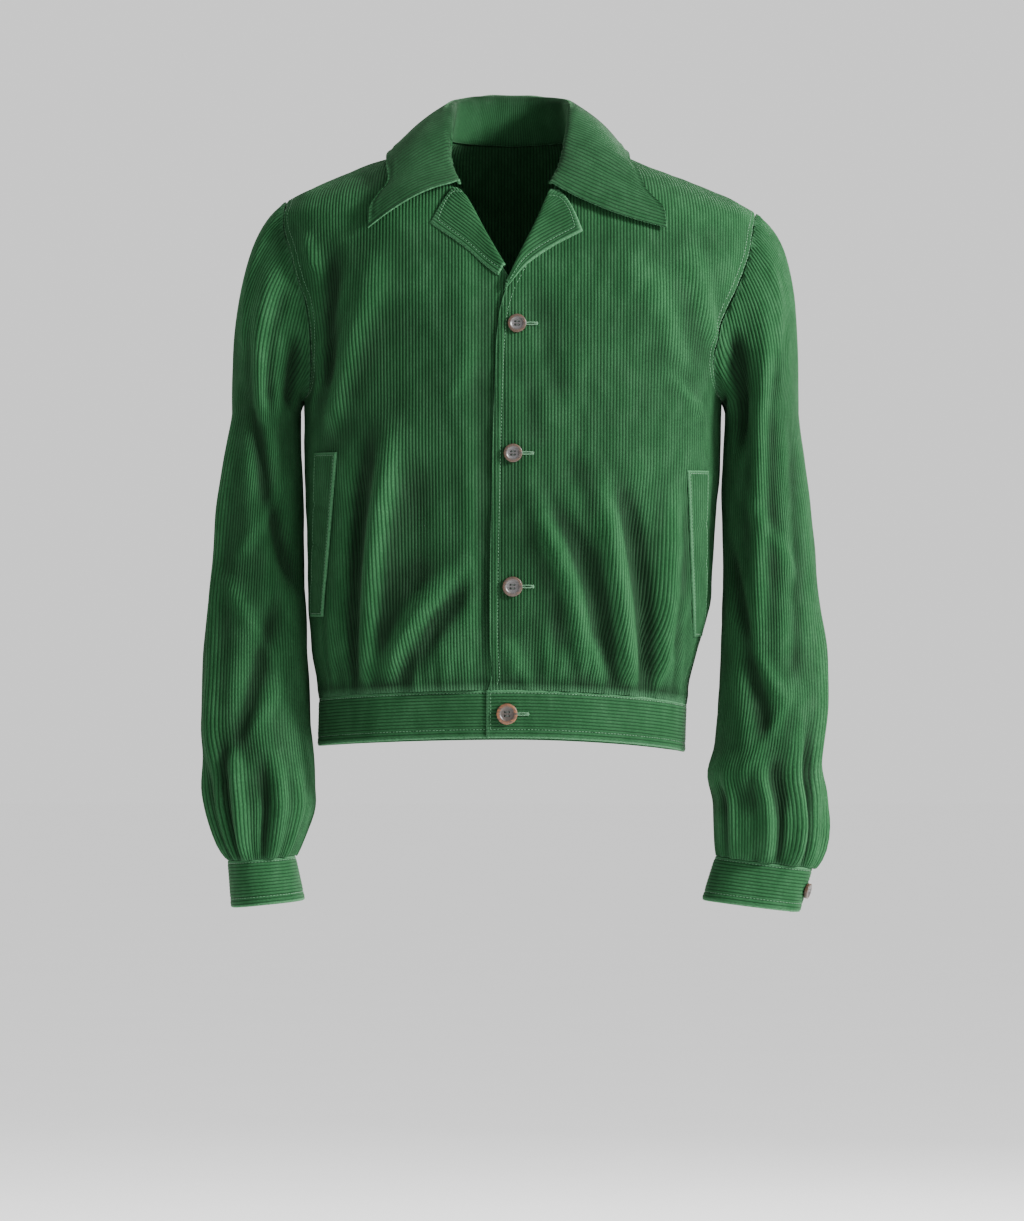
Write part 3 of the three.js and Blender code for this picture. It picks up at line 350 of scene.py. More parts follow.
# Smaller creases on each sleeve's outer side.
FINE_SLEEVE_FOLDS = {
    "left": folds(
        (60, 0.02, 70, 0.2, 0, 8, 2), (140, 0.1, 150, 0.3, 0, 8, 2),
        (120, 0.42, 60, 0.55, 0, 9, 2.5), (140, 0.62, 80, 0.74, 0, 9, 2.5),
        (60, 0.7, 110, 0.86, 0, 8, 2), (130, 0.86, 128, 1.03, 0, 7, 3, 1),
        (72, 0.9, 72, 1.03, 0, 6, 2.5), (34, 0.88, 34, 1.03, 0, 7, 3),
    ),
    "right": folds(
        (50, 0.02, 56, 0.2, 0, 8, 2), (100, 0.1, 112, 0.3, 0, 8, 2),
        (130, 0.4, 70, 0.52, 0, 9, 2.5), (50, 0.55, 110, 0.68, 0, 9, 2.5),
        (120, 0.72, 60, 0.86, 0, 8, 2), (88, 0.88, 88, 1.03, 0, 6, 2.5),
        (46, 0.88, 44, 1.03, 0, 7, 3), (135, 0.86, 135, 1.03, 0, 7, 3),
    ),
}

# Cuffs: centre, half width and half depth of the top and bottom ring, and the outer end's drop.
CUFFS = {
    "left": Table(
        "share x y z half depth drop",
        (0, 254.5, -29, -713.5, 49, 33, 13),
        (1, 241.5, -31, -757, 49.5, 34, 13),
    ),
    "right": Table(
        "share x y z half depth drop",
        (0, 251, -29, -709.5, 34, 46, 5),
        (1, 244.5, -31, -754.5, 37.5, 46, 8),
    ),
}
CUFF_BUTTON_TURN = {"left": 14.0, "right": 318.0}
CUFF_SQUARENESS = 2.2
CUFF_LAP_TURN = 16.0
CUFF_GATHER_LENGTH = 45.0
BAND_OVER_END = -24.0
BAND_UNDER_END = 26.0

# Collar: roll line from the centre back to the front end, and the outer edge lying on the body.
ROLL_LINE = {
    "left": Table(
        "c x y z", (0, 0, 54, 60), (0.1, 15, 53, 60), (0.25, 36, 45, 58), (0.45, 57, 20, 54),
        (0.6, 61, -10, 46), (0.7, 60, -30, 31), (0.8, 57, -47, 13), (0.9, 51, -69, -12),
        (1, 41, -91, -33),
    ),
    "right": Table(
        "c x y z", (0, 0, 54, 60), (0.1, 15, 53, 60), (0.25, 36, 45, 58), (0.45, 57, 20, 54),
        (0.6, 62, -10, 46), (0.7, 64, -30, 31), (0.8, 65, -47, 13), (0.9, 61, -70, -12),
        (1, 54, -92, -31),
    ),
}
COLLAR_EDGE = {
    "left": Table(
        "c turn z", (0, 180, -15), (0.25, 149, -12), (0.45, 116, -4), (0.6, 88, -2),
        (0.72, 55, -13), (0.86, 35.5, -47), (1, 35, -80),
    ),
    "right": Table(
        "c turn z", (0, 180, -15), (0.25, 149, -12), (0.45, 116, -4), (0.6, 88, -1),
        (0.72, 54, -12), (0.86, 33.5, -45), (1, 33.5, -80),
    ),
}
COLLAR_END_SAG = {"left": 9.0, "right": -3.0}
COLLAR_LIFT = DOUBLE_CLOTH + 0.9
COLLAR_BOW = 6.0
ROLL_RADIUS = 4.0
NECK_SEAM_SHARE = 0.55
NECK_CENTRE_Y = -5.0
NECK_SEAT = 0.5
GORGE_SEAT = 2.0
BACK_NECK_DROP = 4.0
SHOULDER_SHARE = 0.6

# Lapels: outer edge from the notch round the tip to the break point.
LAPEL_EDGE = {
    "left": Table("f x z", (0, 71, -82), (0.34, 43, -97), (0.68, 16, -116), (1, -6, -142)),
    "right": Table("f x z", (0, -80, -74), (0.36, -45, -99), (0.75, -22, -119), (1, -13, -126)),
}
LAPEL_NOTCH = {"left": (55.0, -49.0), "right": (-62.0, -44.0)}
GORGE_Z = {"left": -37.0, "right": -36.0}
GORGE_GAP = 5.5
BREAK_Z = {"left": -134.0, "right": -117.0}
LAPEL_LIP = ((3.3, -1.4), (3.7, 1.2), (2.4, 4.0))
LAPEL_FALL = ((0.1, 4.6), (0.3, 4.0), (0.55, 3.4), (0.8, 3.0), (1.0, 2.8))

# Welt pockets: the front edge by height, and the width round the body in degrees.
WELTS = {
    "left": Table("z x", (-486, 182), (-321, 175)),
    "right": Table("z x", (-466, -187), (-303, -173)),
}
WELT_WIDTH = {"left": 12.0, "right": 13.0}
WELT_LIFT = 0.6

# Buttons by node: place on the front and diameter.
FRONT_BUTTONS = {
    "button_top": (6.0, -175.0, 18.5),
    "button_middle": (2.0, -304.0, 18.5),
    "button_lower": (1.5, -436.6, 20.0),
}
BAND_BUTTON = (-4.0, -563.0, 21.0)
CUFF_BUTTON_SIZE = 16.0
BUTTON_LIFT = 0.6


@dataclass
class Body:
    """The worn body: smooth rings, the folds on them, and the cloth's own coordinate round them."""

    arc_step: float = 2.5

    def __post_init__(self) -> None:
        """Measures the distance round the body from the centre front at each height."""
        turns = np.linspace(-180, 180, 721)
        heights = np.arange(UNDERARM_Z, NECK_POINT_Z + 0.1, self.arc_step)
        ring = self.smooth(turns[None, :], heights[:, None])
        steps = np.linalg.norm(np.diff(ring, axis=1), axis=2)
        arcs = np.concatenate([np.zeros((len(heights), 1)), np.cumsum(steps, axis=1)], axis=1)
        self.arcs = arcs - arcs[:, 360:361]

    @staticmethod
    def half_width(x: Array, z: Array) -> Array:
        """Half width of the body on the side that x lies on."""
        return np.where(np.asarray(x) >= 0, BODY.read("left", z), BODY.read("right", z))

    @staticmethod
    def turned(x: Array, width: Array, power: Array) -> Array:
        """Turn, in degrees from the centre front, of x on a ring of a half width and squareness."""
        across = np.minimum(np.abs(x) / width, 1)
        return np.sign(x) * np.degrees(np.arctan2(across, (1 - across**power) ** (1 / power)))

    def turn_at(self, x: Array, z: Array) -> Array:
        """Turn round the body of a place seen at x and a height."""
        return self.turned(x, self.half_width(x, z), BODY.read("square", z))

    def smooth(self, turn: Array, z: Array) -> Array:
        """Points of the smooth body at turns and heights."""
        turn, z = matched(turn, z)
        sine, cosine = np.sin(np.radians(turn)), np.cos(np.radians(turn))
        radius = ring_radius(turn, BODY.read("square", z))
        depth = np.where(cosine >= 0, BODY.read("front", z), BODY.read("back", z))
        width = self.half_width(sine, z)
        return np.stack([width * radius * sine, -depth * radius * cosine, z], axis=-1)

    def normal(self, turn: Array, z: Array) -> Array:
        """Outward normals of the smooth body."""
        around = self.smooth(turn + SIDE_STEP, z) - self.smooth(turn - SIDE_STEP, z)
        up = self.smooth(turn, z + SIDE_STEP) - self.smooth(turn, z - SIDE_STEP)
        return unit(np.cross(around, up))

    def fold_height(self, turn: Array, z: Array) -> Array:
        """Height that the folds add at turns and heights, less near the waist seam.

        Args:
            turn: turns from the centre front.
            z: heights.

        Returns:
            How far the folds stand out.
        """
        turn, z = matched(turn, z)
        ahead = np.abs(turn) <= 90
        seen = np.where(ahead, turn, np.sign(turn) * 180 - turn)
        height = np.zeros(turn.shape)
        shape = [BODY.read(name, z) for name in ("square", "left", "right")]
        for rows, where in (
            (FRONT_FOLDS + FINE_FRONT_FOLDS, ahead),
            (BACK_FOLDS + FINE_BACK_FOLDS, ~ahead),
        ):
            for fold in rows:
                share = (fold.along1 - z) / (fold.along1 - fold.along2)
                near = where & (share > -0.12) & (share < 1.12)
                if not near.any():
                    continue
                part = share[near]
                x = lerp(fold.across1, fold.across2, part)
                x = x + fold.bow * np.sin(np.pi * np.clip(part, 0, 1))
                power, left, right = (values[near] for values in shape)
                middle = self.turned(x, np.where(x >= 0, left, right), power)
                distance = np.radians(seen[near] - middle) * FOLD_GIRTH_RADIUS
                height[near] += fold.height(distance, part)
        side = 1 - ease(74, 84, np.abs(seen))
        low = lerp(0.3, 1, ease(WAIST_SEAM_Z - 8, WAIST_SEAM_Z + 35, z))
        return height * side * low * (1 - ease(-70, -30, z))

    def point(self, turn: Array, z: Array, lift: Array = 0.0, folded: Array = 1.0) -> Array:
        """Points of the folded body, moved out by a lift."""
        turn, z = matched(turn, z)
        turn = wrapped(turn)
        height = folded * self.fold_height(turn, z) + lift
        return self.smooth(turn, z) + self.normal(turn, z) * height[..., None]

    def arc(self, turn: Array, z: Array) -> Array:
        """Distance round the body from the centre front, which is the cloth's own width."""
        row = (np.clip(z, UNDERARM_Z, NECK_POINT_Z) - UNDERARM_Z) / self.arc_step
        low = np.minimum(row.astype(int), len(self.arcs) - 2)
        column = (turn + 180) * 2
        left = np.clip(column.astype(int), 0, 719)
        across, up = column - left, row - low
        return lerp(
            lerp(self.arcs[low, left], self.arcs[low, left + 1], across),
            lerp(self.arcs[low + 1, left], self.arcs[low + 1, left + 1], across),
            up,
        )


FORM = Body()


def waist_seam(turn: Array) -> Array:
    """Height of the seam between the body and the waistband at turns."""
    x = np.sin(np.radians(turn))
    behind = 1 - np.cos(np.radians(turn))
    return WAIST_SEAM_Z - np.where(x > 0, 13, 7) * x * x - 2.5 * behind


def lap_inset(side: str, x: Array) -> Array:
    """How far the under front lies in where the other front laps over it."""
    return -LAP_DEPTH * ease(-48, -24, x) if side == "right" else np.zeros(np.shape(x))


def seam_turn(sign: float, panel: str, z: float) -> float:
    """Turn of a panel's edge at the side and shoulder seams, half a gap from the seam line."""
    half = math.degrees(SEAM_GAP / 2 / float(BODY.read(panel, z)))
    return sign * (90 - half if panel == "front" else 90 + half)


def armhole_place(side: str, panel: str, share: float) -> tuple[float, float]:
    """Turn and height on the armhole at a share from the underarm to the shoulder tip."""
    sign = SIGN[side]
    z = lerp(UNDERARM_Z, SHOULDER_TIP[side], float(crowded(share)))
    turn = 90 * sign
    if share < 1:
        turn = float(FORM.turn_at(sign * ARMHOLES[side, panel].read("x", z), z))
    return (turn if panel == "front" else 180 * sign - turn), z


@dataclass(frozen=True)
class Strip:
    """One row of cloth: its points, outward normals and place across the cloth, from end to end."""

    points: Array
    normals: Array
    across: Array
    along: Array


# The relief's wide average in columns and rows, its scale, and the width of a rubbed edge.
RELIEF_REACH = (22, 4)
RELIEF_SCALE = 2.0
EDGE_WEAR_WIDTH = 1.5


@dataclass
class ClothGrid:
    """Rows of cloth with columns on the wales, made a closed thin wall.

    Double cloth has an edge whose middle stands out by edge_round, and single cloth has none.
    """

    name: str
    thickness: float
    edge_round: float = 0.0
    rows: list[Strip] = field(default_factory=list)
    spans: list[tuple[int, int, bool]] = field(default_factory=list)

    def add(self, strip: Strip, first: int, last: int, closed: bool = False) -> None:
        """Adds a row whose own columns run from first to last."""
        self.rows.append(strip)
        self.spans.append((first, last, closed))

    def build(self, coarse: int = WALE_COLUMNS) -> Piece:
        """Makes the wall as a mesh object.

        Args:
            coarse: every how many columns the inner side has one.

        Returns:
            The new object, with its cloth map and its relief and wear attributes.
        """
        outer = np.stack([row.points for row in self.rows])
        normals = np.stack([row.normals for row in self.rows])
        count, columns = outer.shape[:2]
        first, last, closed = (np.array(part)[:, None] for part in zip(*self.spans))
        own = np.clip(np.arange(columns)[None, :], first, last)
        beside = np.where(closed, FAR, np.minimum(own - first, last - own) * COLUMN_STEP)
        own = np.where(closed & (own == last), first, own)
        ids = np.arange(count)[:, None] * columns + own
        inner = outer - normals * self.thickness
        layer = count * columns
        quads = [ids[:-1, :-1], ids[:-1, 1:], ids[1:, 1:], ids[1:, :-1]]
        sheets = [np.stack([q.ravel() for q in quads], axis=1)]
        picks = list(range(0, columns, coarse))
        if picks[-1] != columns - 1:
            picks.append(columns - 1)
        low = ids[:, picks] + layer
        quads = [low[:-1, :-1], low[1:, :-1], low[1:, 1:], low[:-1, 1:]]
        sheets.append(np.stack([q.ravel() for q in quads], axis=1))
        faces: list[list[int]] = []
        middle = (outer + inner) / 2
        has_rim = self.edge_round > 0
        rim = 2 * layer if has_rim else 0
        if has_rim:
            middle[0] += unit(outer[0] - outer[1]) * self.edge_round
            middle[-1] += unit(outer[-1] - outer[-2]) * self.edge_round
            middle[:, 0] += unit(outer[:, 0] - outer[:, 2]) * self.edge_round
            middle[:, -1] += unit(outer[:, -1] - outer[:, -3]) * self.edge_round
        for row, flip in ((0, False), (count - 1, True)):
            for a, b in zip(picks[:-1], picks[1:]):
                top = [int(ids[row, c]) for c in range(a, b + 1)]
                base = [int(ids[row, c]) + layer for c in (b, a)]
                rings = [top[::-1] + base[::-1]]
                if has_rim:
                    mid = [i + rim for i in top]
                    rings = [mid[::-1] + base[::-1]]
                    for c in range(len(top) - 1):
                        rings.append([top[c + 1], top[c], mid[c], mid[c + 1]])
                faces += [ring[::-1] if flip else ring for ring in rings]
        for row in range(count - 1):
            if closed[row, 0] and closed[row + 1, 0]:
                continue
            for column, flip in ((0, False), (columns - 1, True)):
                a, b = int(ids[row, column]), int(ids[row + 1, column])
                chain = [0, rim, layer] if has_rim else [0, layer]
                for one, two in zip(chain[:-1], chain[1:]):
                    ring = [a + one, b + one, b + two, a + two]
                    faces.append(ring[::-1] if flip else ring)
        layers = [outer, inner] + ([middle] if has_rim else [])
        points = np.concatenate([layer_points.reshape(-1, 3) for layer_points in layers])
        across = np.tile(np.stack([row.across for row in self.rows]).ravel(), len(layers))
        along = np.tile(np.stack([row.along for row in self.rows]).ravel(), len(layers))
        marks = {"relief": self.relief(outer, normals, len(layers)), "wear": self.wear(outer, beside)}
        quads = np.concatenate(sheets)
        return cloth_object(self.name + CLOTH_SUFFIX, points, quads, faces, across, along, marks)

    def relief(self, outer: Array, normals: Array, layers: int) -> Array:
        """How far each point stands out of (or lies in) the cloth round it, from -1 to 1, which the cloth
        material uses for painted fold shade.
        """
        near = blurred(outer, 3, 1)
        far = blurred(outer, *RELIEF_REACH)
        height = np.einsum("ijk,ijk->ij", near - far, normals)
        height = height / RELIEF_SCALE - 0.1
        height = np.clip(0.3 + 0.4 * height if self.edge_round else height, -1, 1)
        return np.tile(height.ravel(), layers)

    def wear(self, outer: Array, beside: Array) -> Array:
        """How rubbed each point is: 1 along a double edge, less along a seam."""
        down = lengths(outer[:, outer.shape[1] // 2])[:, None]
        edge = np.minimum(beside, np.minimum(down, down[-1] - down))
        worn, plain = hump(edge, EDGE_WEAR_WIDTH).ravel(), np.zeros(edge.size)
        if self.edge_round:
            return np.concatenate([worn, plain, np.ones(edge.size)])
        return np.concatenate([worn * 0.5, plain])


def blurred(values: Array, columns: int, rows: int) -> Array:
    """A grid of points averaged over columns and rows to each side."""
    for axis, reach in ((1, columns), (0, rows)):
        size = values.shape[axis]
        reach = min(reach, size - 1)
        pad = [(0, 0)] * 3
        pad[axis] = (reach + 1, reach)
        mode = "reflect" if reach < size - 1 else "edge"
        sums = np.cumsum(np.pad(values, pad, mode=mode), axis=axis)
        high = np.take(sums, np.arange(size) + 2 * reach + 1, axis=axis)
        values = (high - np.take(sums, np.arange(size), axis=axis)) / (2 * reach + 1)
    return values


def own_columns(wanted: Array, width: Array) -> tuple[int, int]:
    """Numbers of the first and last column that a row of a width has for its own."""
    first = int(np.searchsorted(wanted, width[0] + 1e-9, side="right")) - 1
    last = int(np.searchsorted(wanted, width[-1] - 1e-9, side="left"))
    return max(first, 0), min(last, len(wanted) - 1)


def distinct(quads: Array) -> Array:
    """Whether each quad has four different points."""
    ordered = np.sort(quads, axis=1)
    return (np.diff(ordered, axis=1) > 0).all(axis=1)


def cloth_object(
    name: str,
    points: Array,
    quads: Array,
    rings: list[list[int]],
    across: Array,
    along: Array,
    marks: dict[str, Array],
) -> Piece:
    """Makes a mesh object of cloth without its collapsed faces and unused points.

    Args:
        name: the object's name.
        points: all points in millimetres.
        quads: four point numbers for each face, where neighbours may be the same point.
        rings: the other faces, as lists of point numbers.
        across: each point's place across the wales, in millimetres.
        along: each point's place along the wales, in millimetres.
        marks: further values of each point, by attribute name.

    Returns:
        The new object, shaded smooth.
    """
    kept = quads[distinct(quads)].tolist()
    for ring in quads[~distinct(quads)].tolist() + rings:
        clean = []
        for index in ring:
            if not clean or clean[-1] != index:
                clean.append(index)
        if len(clean) > 1 and clean[0] == clean[-1]:
            clean.pop()
        if len(set(clean)) == len(clean) and len(clean) > 2:
            kept.append(clean)
    fans = np.array([(r[0], r[k], r[k + 1]) for r in kept for k in range(1, len(r) - 1)])
    a, b, c = points[fans[:, 0]], points[fans[:, 1]], points[fans[:, 2]]
    if np.einsum("ij,ij->", a, np.cross(b, c)) < 0:
        kept = [ring[::-1] for ring in kept]
    used = np.unique(fans)
    renumber = np.full(len(points), -1)
    renumber[used] = np.arange(len(used))
    mesh = bpy.data.meshes.new(name)
    mesh.from_pydata((points[used] * MM).tolist(), [], [renumber[r].tolist() for r in kept])
    corners = np.empty(len(mesh.loops), int)
    mesh.loops.foreach_get("vertex_index", corners)
    chosen = used[corners]
    layer = mesh.uv_layers.new(name="cloth")
    flat = np.stack([across[chosen], along[chosen]], axis=1) / 100
    layer.data.foreach_set("uv", flat.astype(np.float32).ravel())
    for mark, values in marks.items():
        kept_values = mesh.attributes.new(mark, "FLOAT", "POINT")
        kept_values.data.foreach_set("value", values[used].astype(np.float32))
    mesh.validate()
    made = bpy.data.objects.new(name, mesh)
    bpy.context.scene.collection.objects.link(made)
    smooth(made, 70)
    return made


def select_only(*objects: Piece) -> None:
    """Selects some objects and nothing else, and makes the first one active."""
    bpy.ops.object.select_all(action="DESELECT")
    for made in objects:
        made.select_set(True)
    bpy.context.view_layer.objects.active = objects[0]


def smooth(made: Piece, degrees: float) -> None:
    """Shades an object smooth where its faces meet at less than an angle."""
    select_only(made)
    bpy.ops.object.shade_smooth_by_angle(angle=math.radians(degrees))


def wale_height(across: Array, height: float = WALE_HEIGHT) -> Array:
    """Height of the wales over their valleys at places across the cloth."""
    return height * (np.abs(np.sin(np.pi * across / WALE_PITCH)) ** 0.6 - 0.45)


def ripple(seed: int, across: Array, along: Array, size: float, wide: float) -> Array:
    """Soft uneven swells of the cloth, from a few waves of seeded direction and phase."""
    draw = np.random.default_rng(seed)
    height = np.zeros(np.broadcast(across, along).shape)
    for _ in range(5):
        turn, phase = draw.uniform(0, np.pi, 2)
        length = wide * draw.uniform(0.7, 1.6)
        place = across * np.cos(turn) + along * np.sin(turn) * 0.6
        height += np.sin(2 * np.pi * place / length + 2 * phase)
    return size * height / 2.2


@dataclass
class Panels:
    """The two fronts and the back, whose rows are numbered from the waist seam to the shoulder."""

    lower: float = 18.0
    upper: float = 12.0
    upper_rows: int = 46
    dense: int = 160
    armhole_stitches: tuple[float, float] = (1.8, 8.5)
    lap_stitch: float = 8.0

    def rows(self) -> Array:
        """Row numbers from the waist seam, past the underarm, to the shoulder."""
        below = np.linspace(0, self.lower, int(-(WAIST_SEAM_Z - UNDERARM_Z) / ROW_STEP))
        above = np.linspace(self.lower, self.lower + self.upper, self.upper_rows)
        return np.concatenate([below, above[1:]])

    def outer(self, side: str, panel: str, row: float) -> tuple[float, float]:
        """Turn and height of a row's outer end, on the side seam or the armhole."""
        share = max((row - self.lower) / self.upper, 0.0)
        turn, z = armhole_place(side, panel, share)
        if share in (0.0, 1.0):
            turn = seam_turn(SIGN[side], panel, z)
        return turn, z

    def inner(self, side: str, row: float) -> tuple[float, float]:
        """Turn and height of a front's inner end, on its lapping edge, roll line or neckline."""
        share = (row - self.lower) / self.upper
        z = lerp(WAIST_SEAM_Z, UNDERARM_Z, min(row / self.lower, 1.0))
        if share > 0:
            z = lerp(UNDERARM_Z, NECK_POINT_Z, float(crowded(share)))
        if share >= 1:
            return seam_turn(SIGN[side], "front", z), z
        return float(FORM.turn_at(INNER_EDGE[side].read("x", z), z)), z

    def low_z(self, turn: Array, row: float) -> Array:
        """Heights of a row below the underarm, which starts just over the waist seam."""
        return lerp(waist_seam(turn) + SEAM_GAP, UNDERARM_Z, row / self.lower)

    def front_places(self, side: str, row: float, share: Array) -> Pair:
        """Turns and heights along a front's row, from its inner end to its outer one."""
        inner, outer = self.inner(side, row), self.outer(side, "front", row)
        turn = lerp(inner[0], outer[0], share)
        z = self.low_z(turn, row) if row < self.lower else lerp(inner[1], outer[1], share)
        return turn, z

    def back_places(self, row: float, share: Array) -> Pair:
        """Turns, from 90 to 270, and heights along the back's row, from left to right.

        Args:
            row: the row's number.
            share: shares of its width, from left to right.

        Returns:
            The turns and the heights.
        """
        turns, heights = np.zeros_like(share), np.zeros_like(share)
        upper = float(crowded(max((row - self.lower) / self.upper, 0.0)))
        blend = upper * upper
        for side, here, inward in (
            ("left", share <= 0.5, share * 2),
            ("right", share > 0.5, 2 - share * 2),
        ):
            end_turn, end_z = self.outer(side, "back", row)
            end_turn += 0 if side == "left" else 360
            toward = np.maximum((inward - SHOULDER_SHARE) / (1 - SHOULDER_SHARE), 0)
            shoulder = np.minimum(inward / SHOULDER_SHARE, 1)
            turn = lerp(end_turn, 180, lerp(inward, toward, blend))
            centre = lerp(UNDERARM_Z, NECK_POINT_Z - BACK_NECK_DROP * toward, upper)
            z = lerp(end_z, centre, lerp(inward, shoulder, blend))
            if row < self.lower:
                turn = lerp(end_turn, 180, inward)
                z = self.low_z(wrapped(turn), row)
            turns, heights = np.where(here, turn, turns), np.where(here, z, heights)
        return turns, heights

    @staticmethod
    def cloth_width(turn: Array, z: Array, behind: bool) -> Array:
        """Place across the cloth of turns on a panel, from the centre front or the centre back."""
        turn = wrapped(turn)
        centre = FORM.arc(np.where(turn > 0, 180.0, -180.0), z) if behind else 0.0
        return FORM.arc(turn, z) - centre

    def surface(self, side: str, turn: Array, z: Array, across: Array, end: Array) -> Array:
        """Finished points of a panel with wales, swells and the dip beside its seams.

        Args:
            side: left, right or back.
            turn: turns round the body.
            z: heights.
            across: places across the cloth.
            end: distance to the nearer end of the row.

        Returns:
            The points.
        """
        seed = {"left": 11, "right": 12, "back": 13}[side]
        x = FORM.smooth(turn, z)[..., 0]
        inset = lap_inset(side, x)
        lift = inset + ripple(seed, across, z, 0.7, 95) + ripple(seed + 5, across, z, 0.3, 34)
        lift = lift - 0.5 * hump(end, 2.2) + 0.5 * hump(end, 3, 5)
        pucker = np.sin(2 * np.pi * z / 10.5) * hump(end, 6, 3)
        lift = lift + np.where(z > UNDERARM_Z, 0.35, 0.2) * pucker
        waist = z - waist_seam(wrapped(turn))
        lift = lift + gathers(seed, across) * np.exp(-waist / 34) * ease(0, 6, waist)
        lift = lift - 0.9 * hump(waist, 3.0)
        edge = lap_band(x, end) if side == "left" else 0.0
        lift = lift + edge + wale_height(across)
        return FORM.point(turn, z, lift, 1 + inset / LAP_DEPTH)

    def build(self, side: str) -> Piece:
        """Builds one front or the back as a thin wall.

        Args:
            side: left, right or back.

        Returns:
            The new object.
        """
        name = "back" if side == "back" else f"front_{side}"
        share = np.linspace(0, 1, self.dense)
        plans = []
        for row in self.rows():
            turn, z = self.places(side, row, share)
            plans.append((row, self.widths(side, turn, z)))
        low = math.floor(min(width[0] for _, width in plans) / COLUMN_STEP) - 1
        low -= low % WALE_COLUMNS
        high = math.ceil(max(width[-1] for _, width in plans) / COLUMN_STEP) + 1
        high += -(high - low) % WALE_COLUMNS
        wanted = np.arange(low, high + 1) * COLUMN_STEP
        grid = ClothGrid(name, CLOTH - 0.3)
        for row, width in plans:
            place = np.clip(wanted, width[0], width[-1])
            at = np.interp(place, width, share)
            turn, z = self.places(side, row, at)
            end = np.minimum(place - width[0], width[-1] - place)
            points = self.surface(side, turn, z, place, end)
            strip = Strip(points, FORM.normal(wrapped(turn), z), place, z)
            grid.add(strip, *own_columns(wanted, width))
        return grid.build()

    def beside(self, side: str, rows: Array, outer: bool, inset: float) -> Pair:
        """A line on a panel at a distance in from one end of its rows.

        Args:
            side: left, right or back.
            rows: row numbers that the line passes.
            outer: whether the distance is from the row's last end.
            inset: the distance in millimetres.

        Returns:
            The line's points and normals.
        """
        share = np.linspace(0, 1, self.dense)
        picked = []
        for row in rows:
            width = self.widths(side, *self.places(side, row, share))
            place = width[-1] - inset if outer else width[0] + inset
            turn, z = self.places(side, row, np.interp([place], width, share))
            picked.append((turn[0], z[0], place, min(place - width[0], width[-1] - place)))
        turn, z, place, end = np.array(picked).T
        return self.surface(side, turn, z, place, end), FORM.normal(wrapped(turn), z)

    def places(self, side: str, row: float, share: Array) -> Pair:
        """Turns and heights along a row of a front or of the back."""
        return self.back_places(row, share) if side == "back" else self.front_places(side, row, share)

    def widths(self, side: str, turn: Array, z: Array) -> Array:
        """Places across the cloth along a row, rising from its first end."""
        width = self.cloth_width(turn, z, side == "back") * SIGN.get(side, 1.0)
        return np.maximum.accumulate(width + np.arange(len(width)) * 1e-6)

    def seams(self, side: str) -> list[Pair]:
        """The stitch lines of a panel: twice round its armholes, and along the lapping edge."""
        upper = np.linspace(self.lower + 0.3, self.lower + self.upper - 0.3, 70)
        ends = (True, False) if side == "back" else (True,)
        lines = [self.beside(side, upper, end, inset) for end in ends for inset in self.armhole_stitches]
        if side == "left":
            lines.append(self.beside(side, np.linspace(0.3, 25.2, 160), False, self.lap_stitch))
        return lines


def gathers(seed: int, across: Array) -> Array:
    """Height of the small gathers over the waist seam, uneven in spacing and size."""
    draw = np.random.default_rng(seed + 40)
    height = np.zeros(np.shape(across))
    place = -330.0
    while place < 330:
        place += draw.uniform(11, 24)
        size, wide = draw.uniform(0.5, 2.2), draw.uniform(3.0, 5.5)
        height += size * hump(across, wide, place)
    return height - 0.5


def lap_band(x: Array, end: Array) -> Array:
    """The facing's edge on the over front: a flat raised band with a stitched groove."""
    near = np.where(np.abs(x) < 60, 1.0, 0.0)
    band = 0.5 * (1 - ease(6.5, 9.5, end))
    groove = -0.5 * hump(end, 1.3, 8)
    return near * (band + groove)


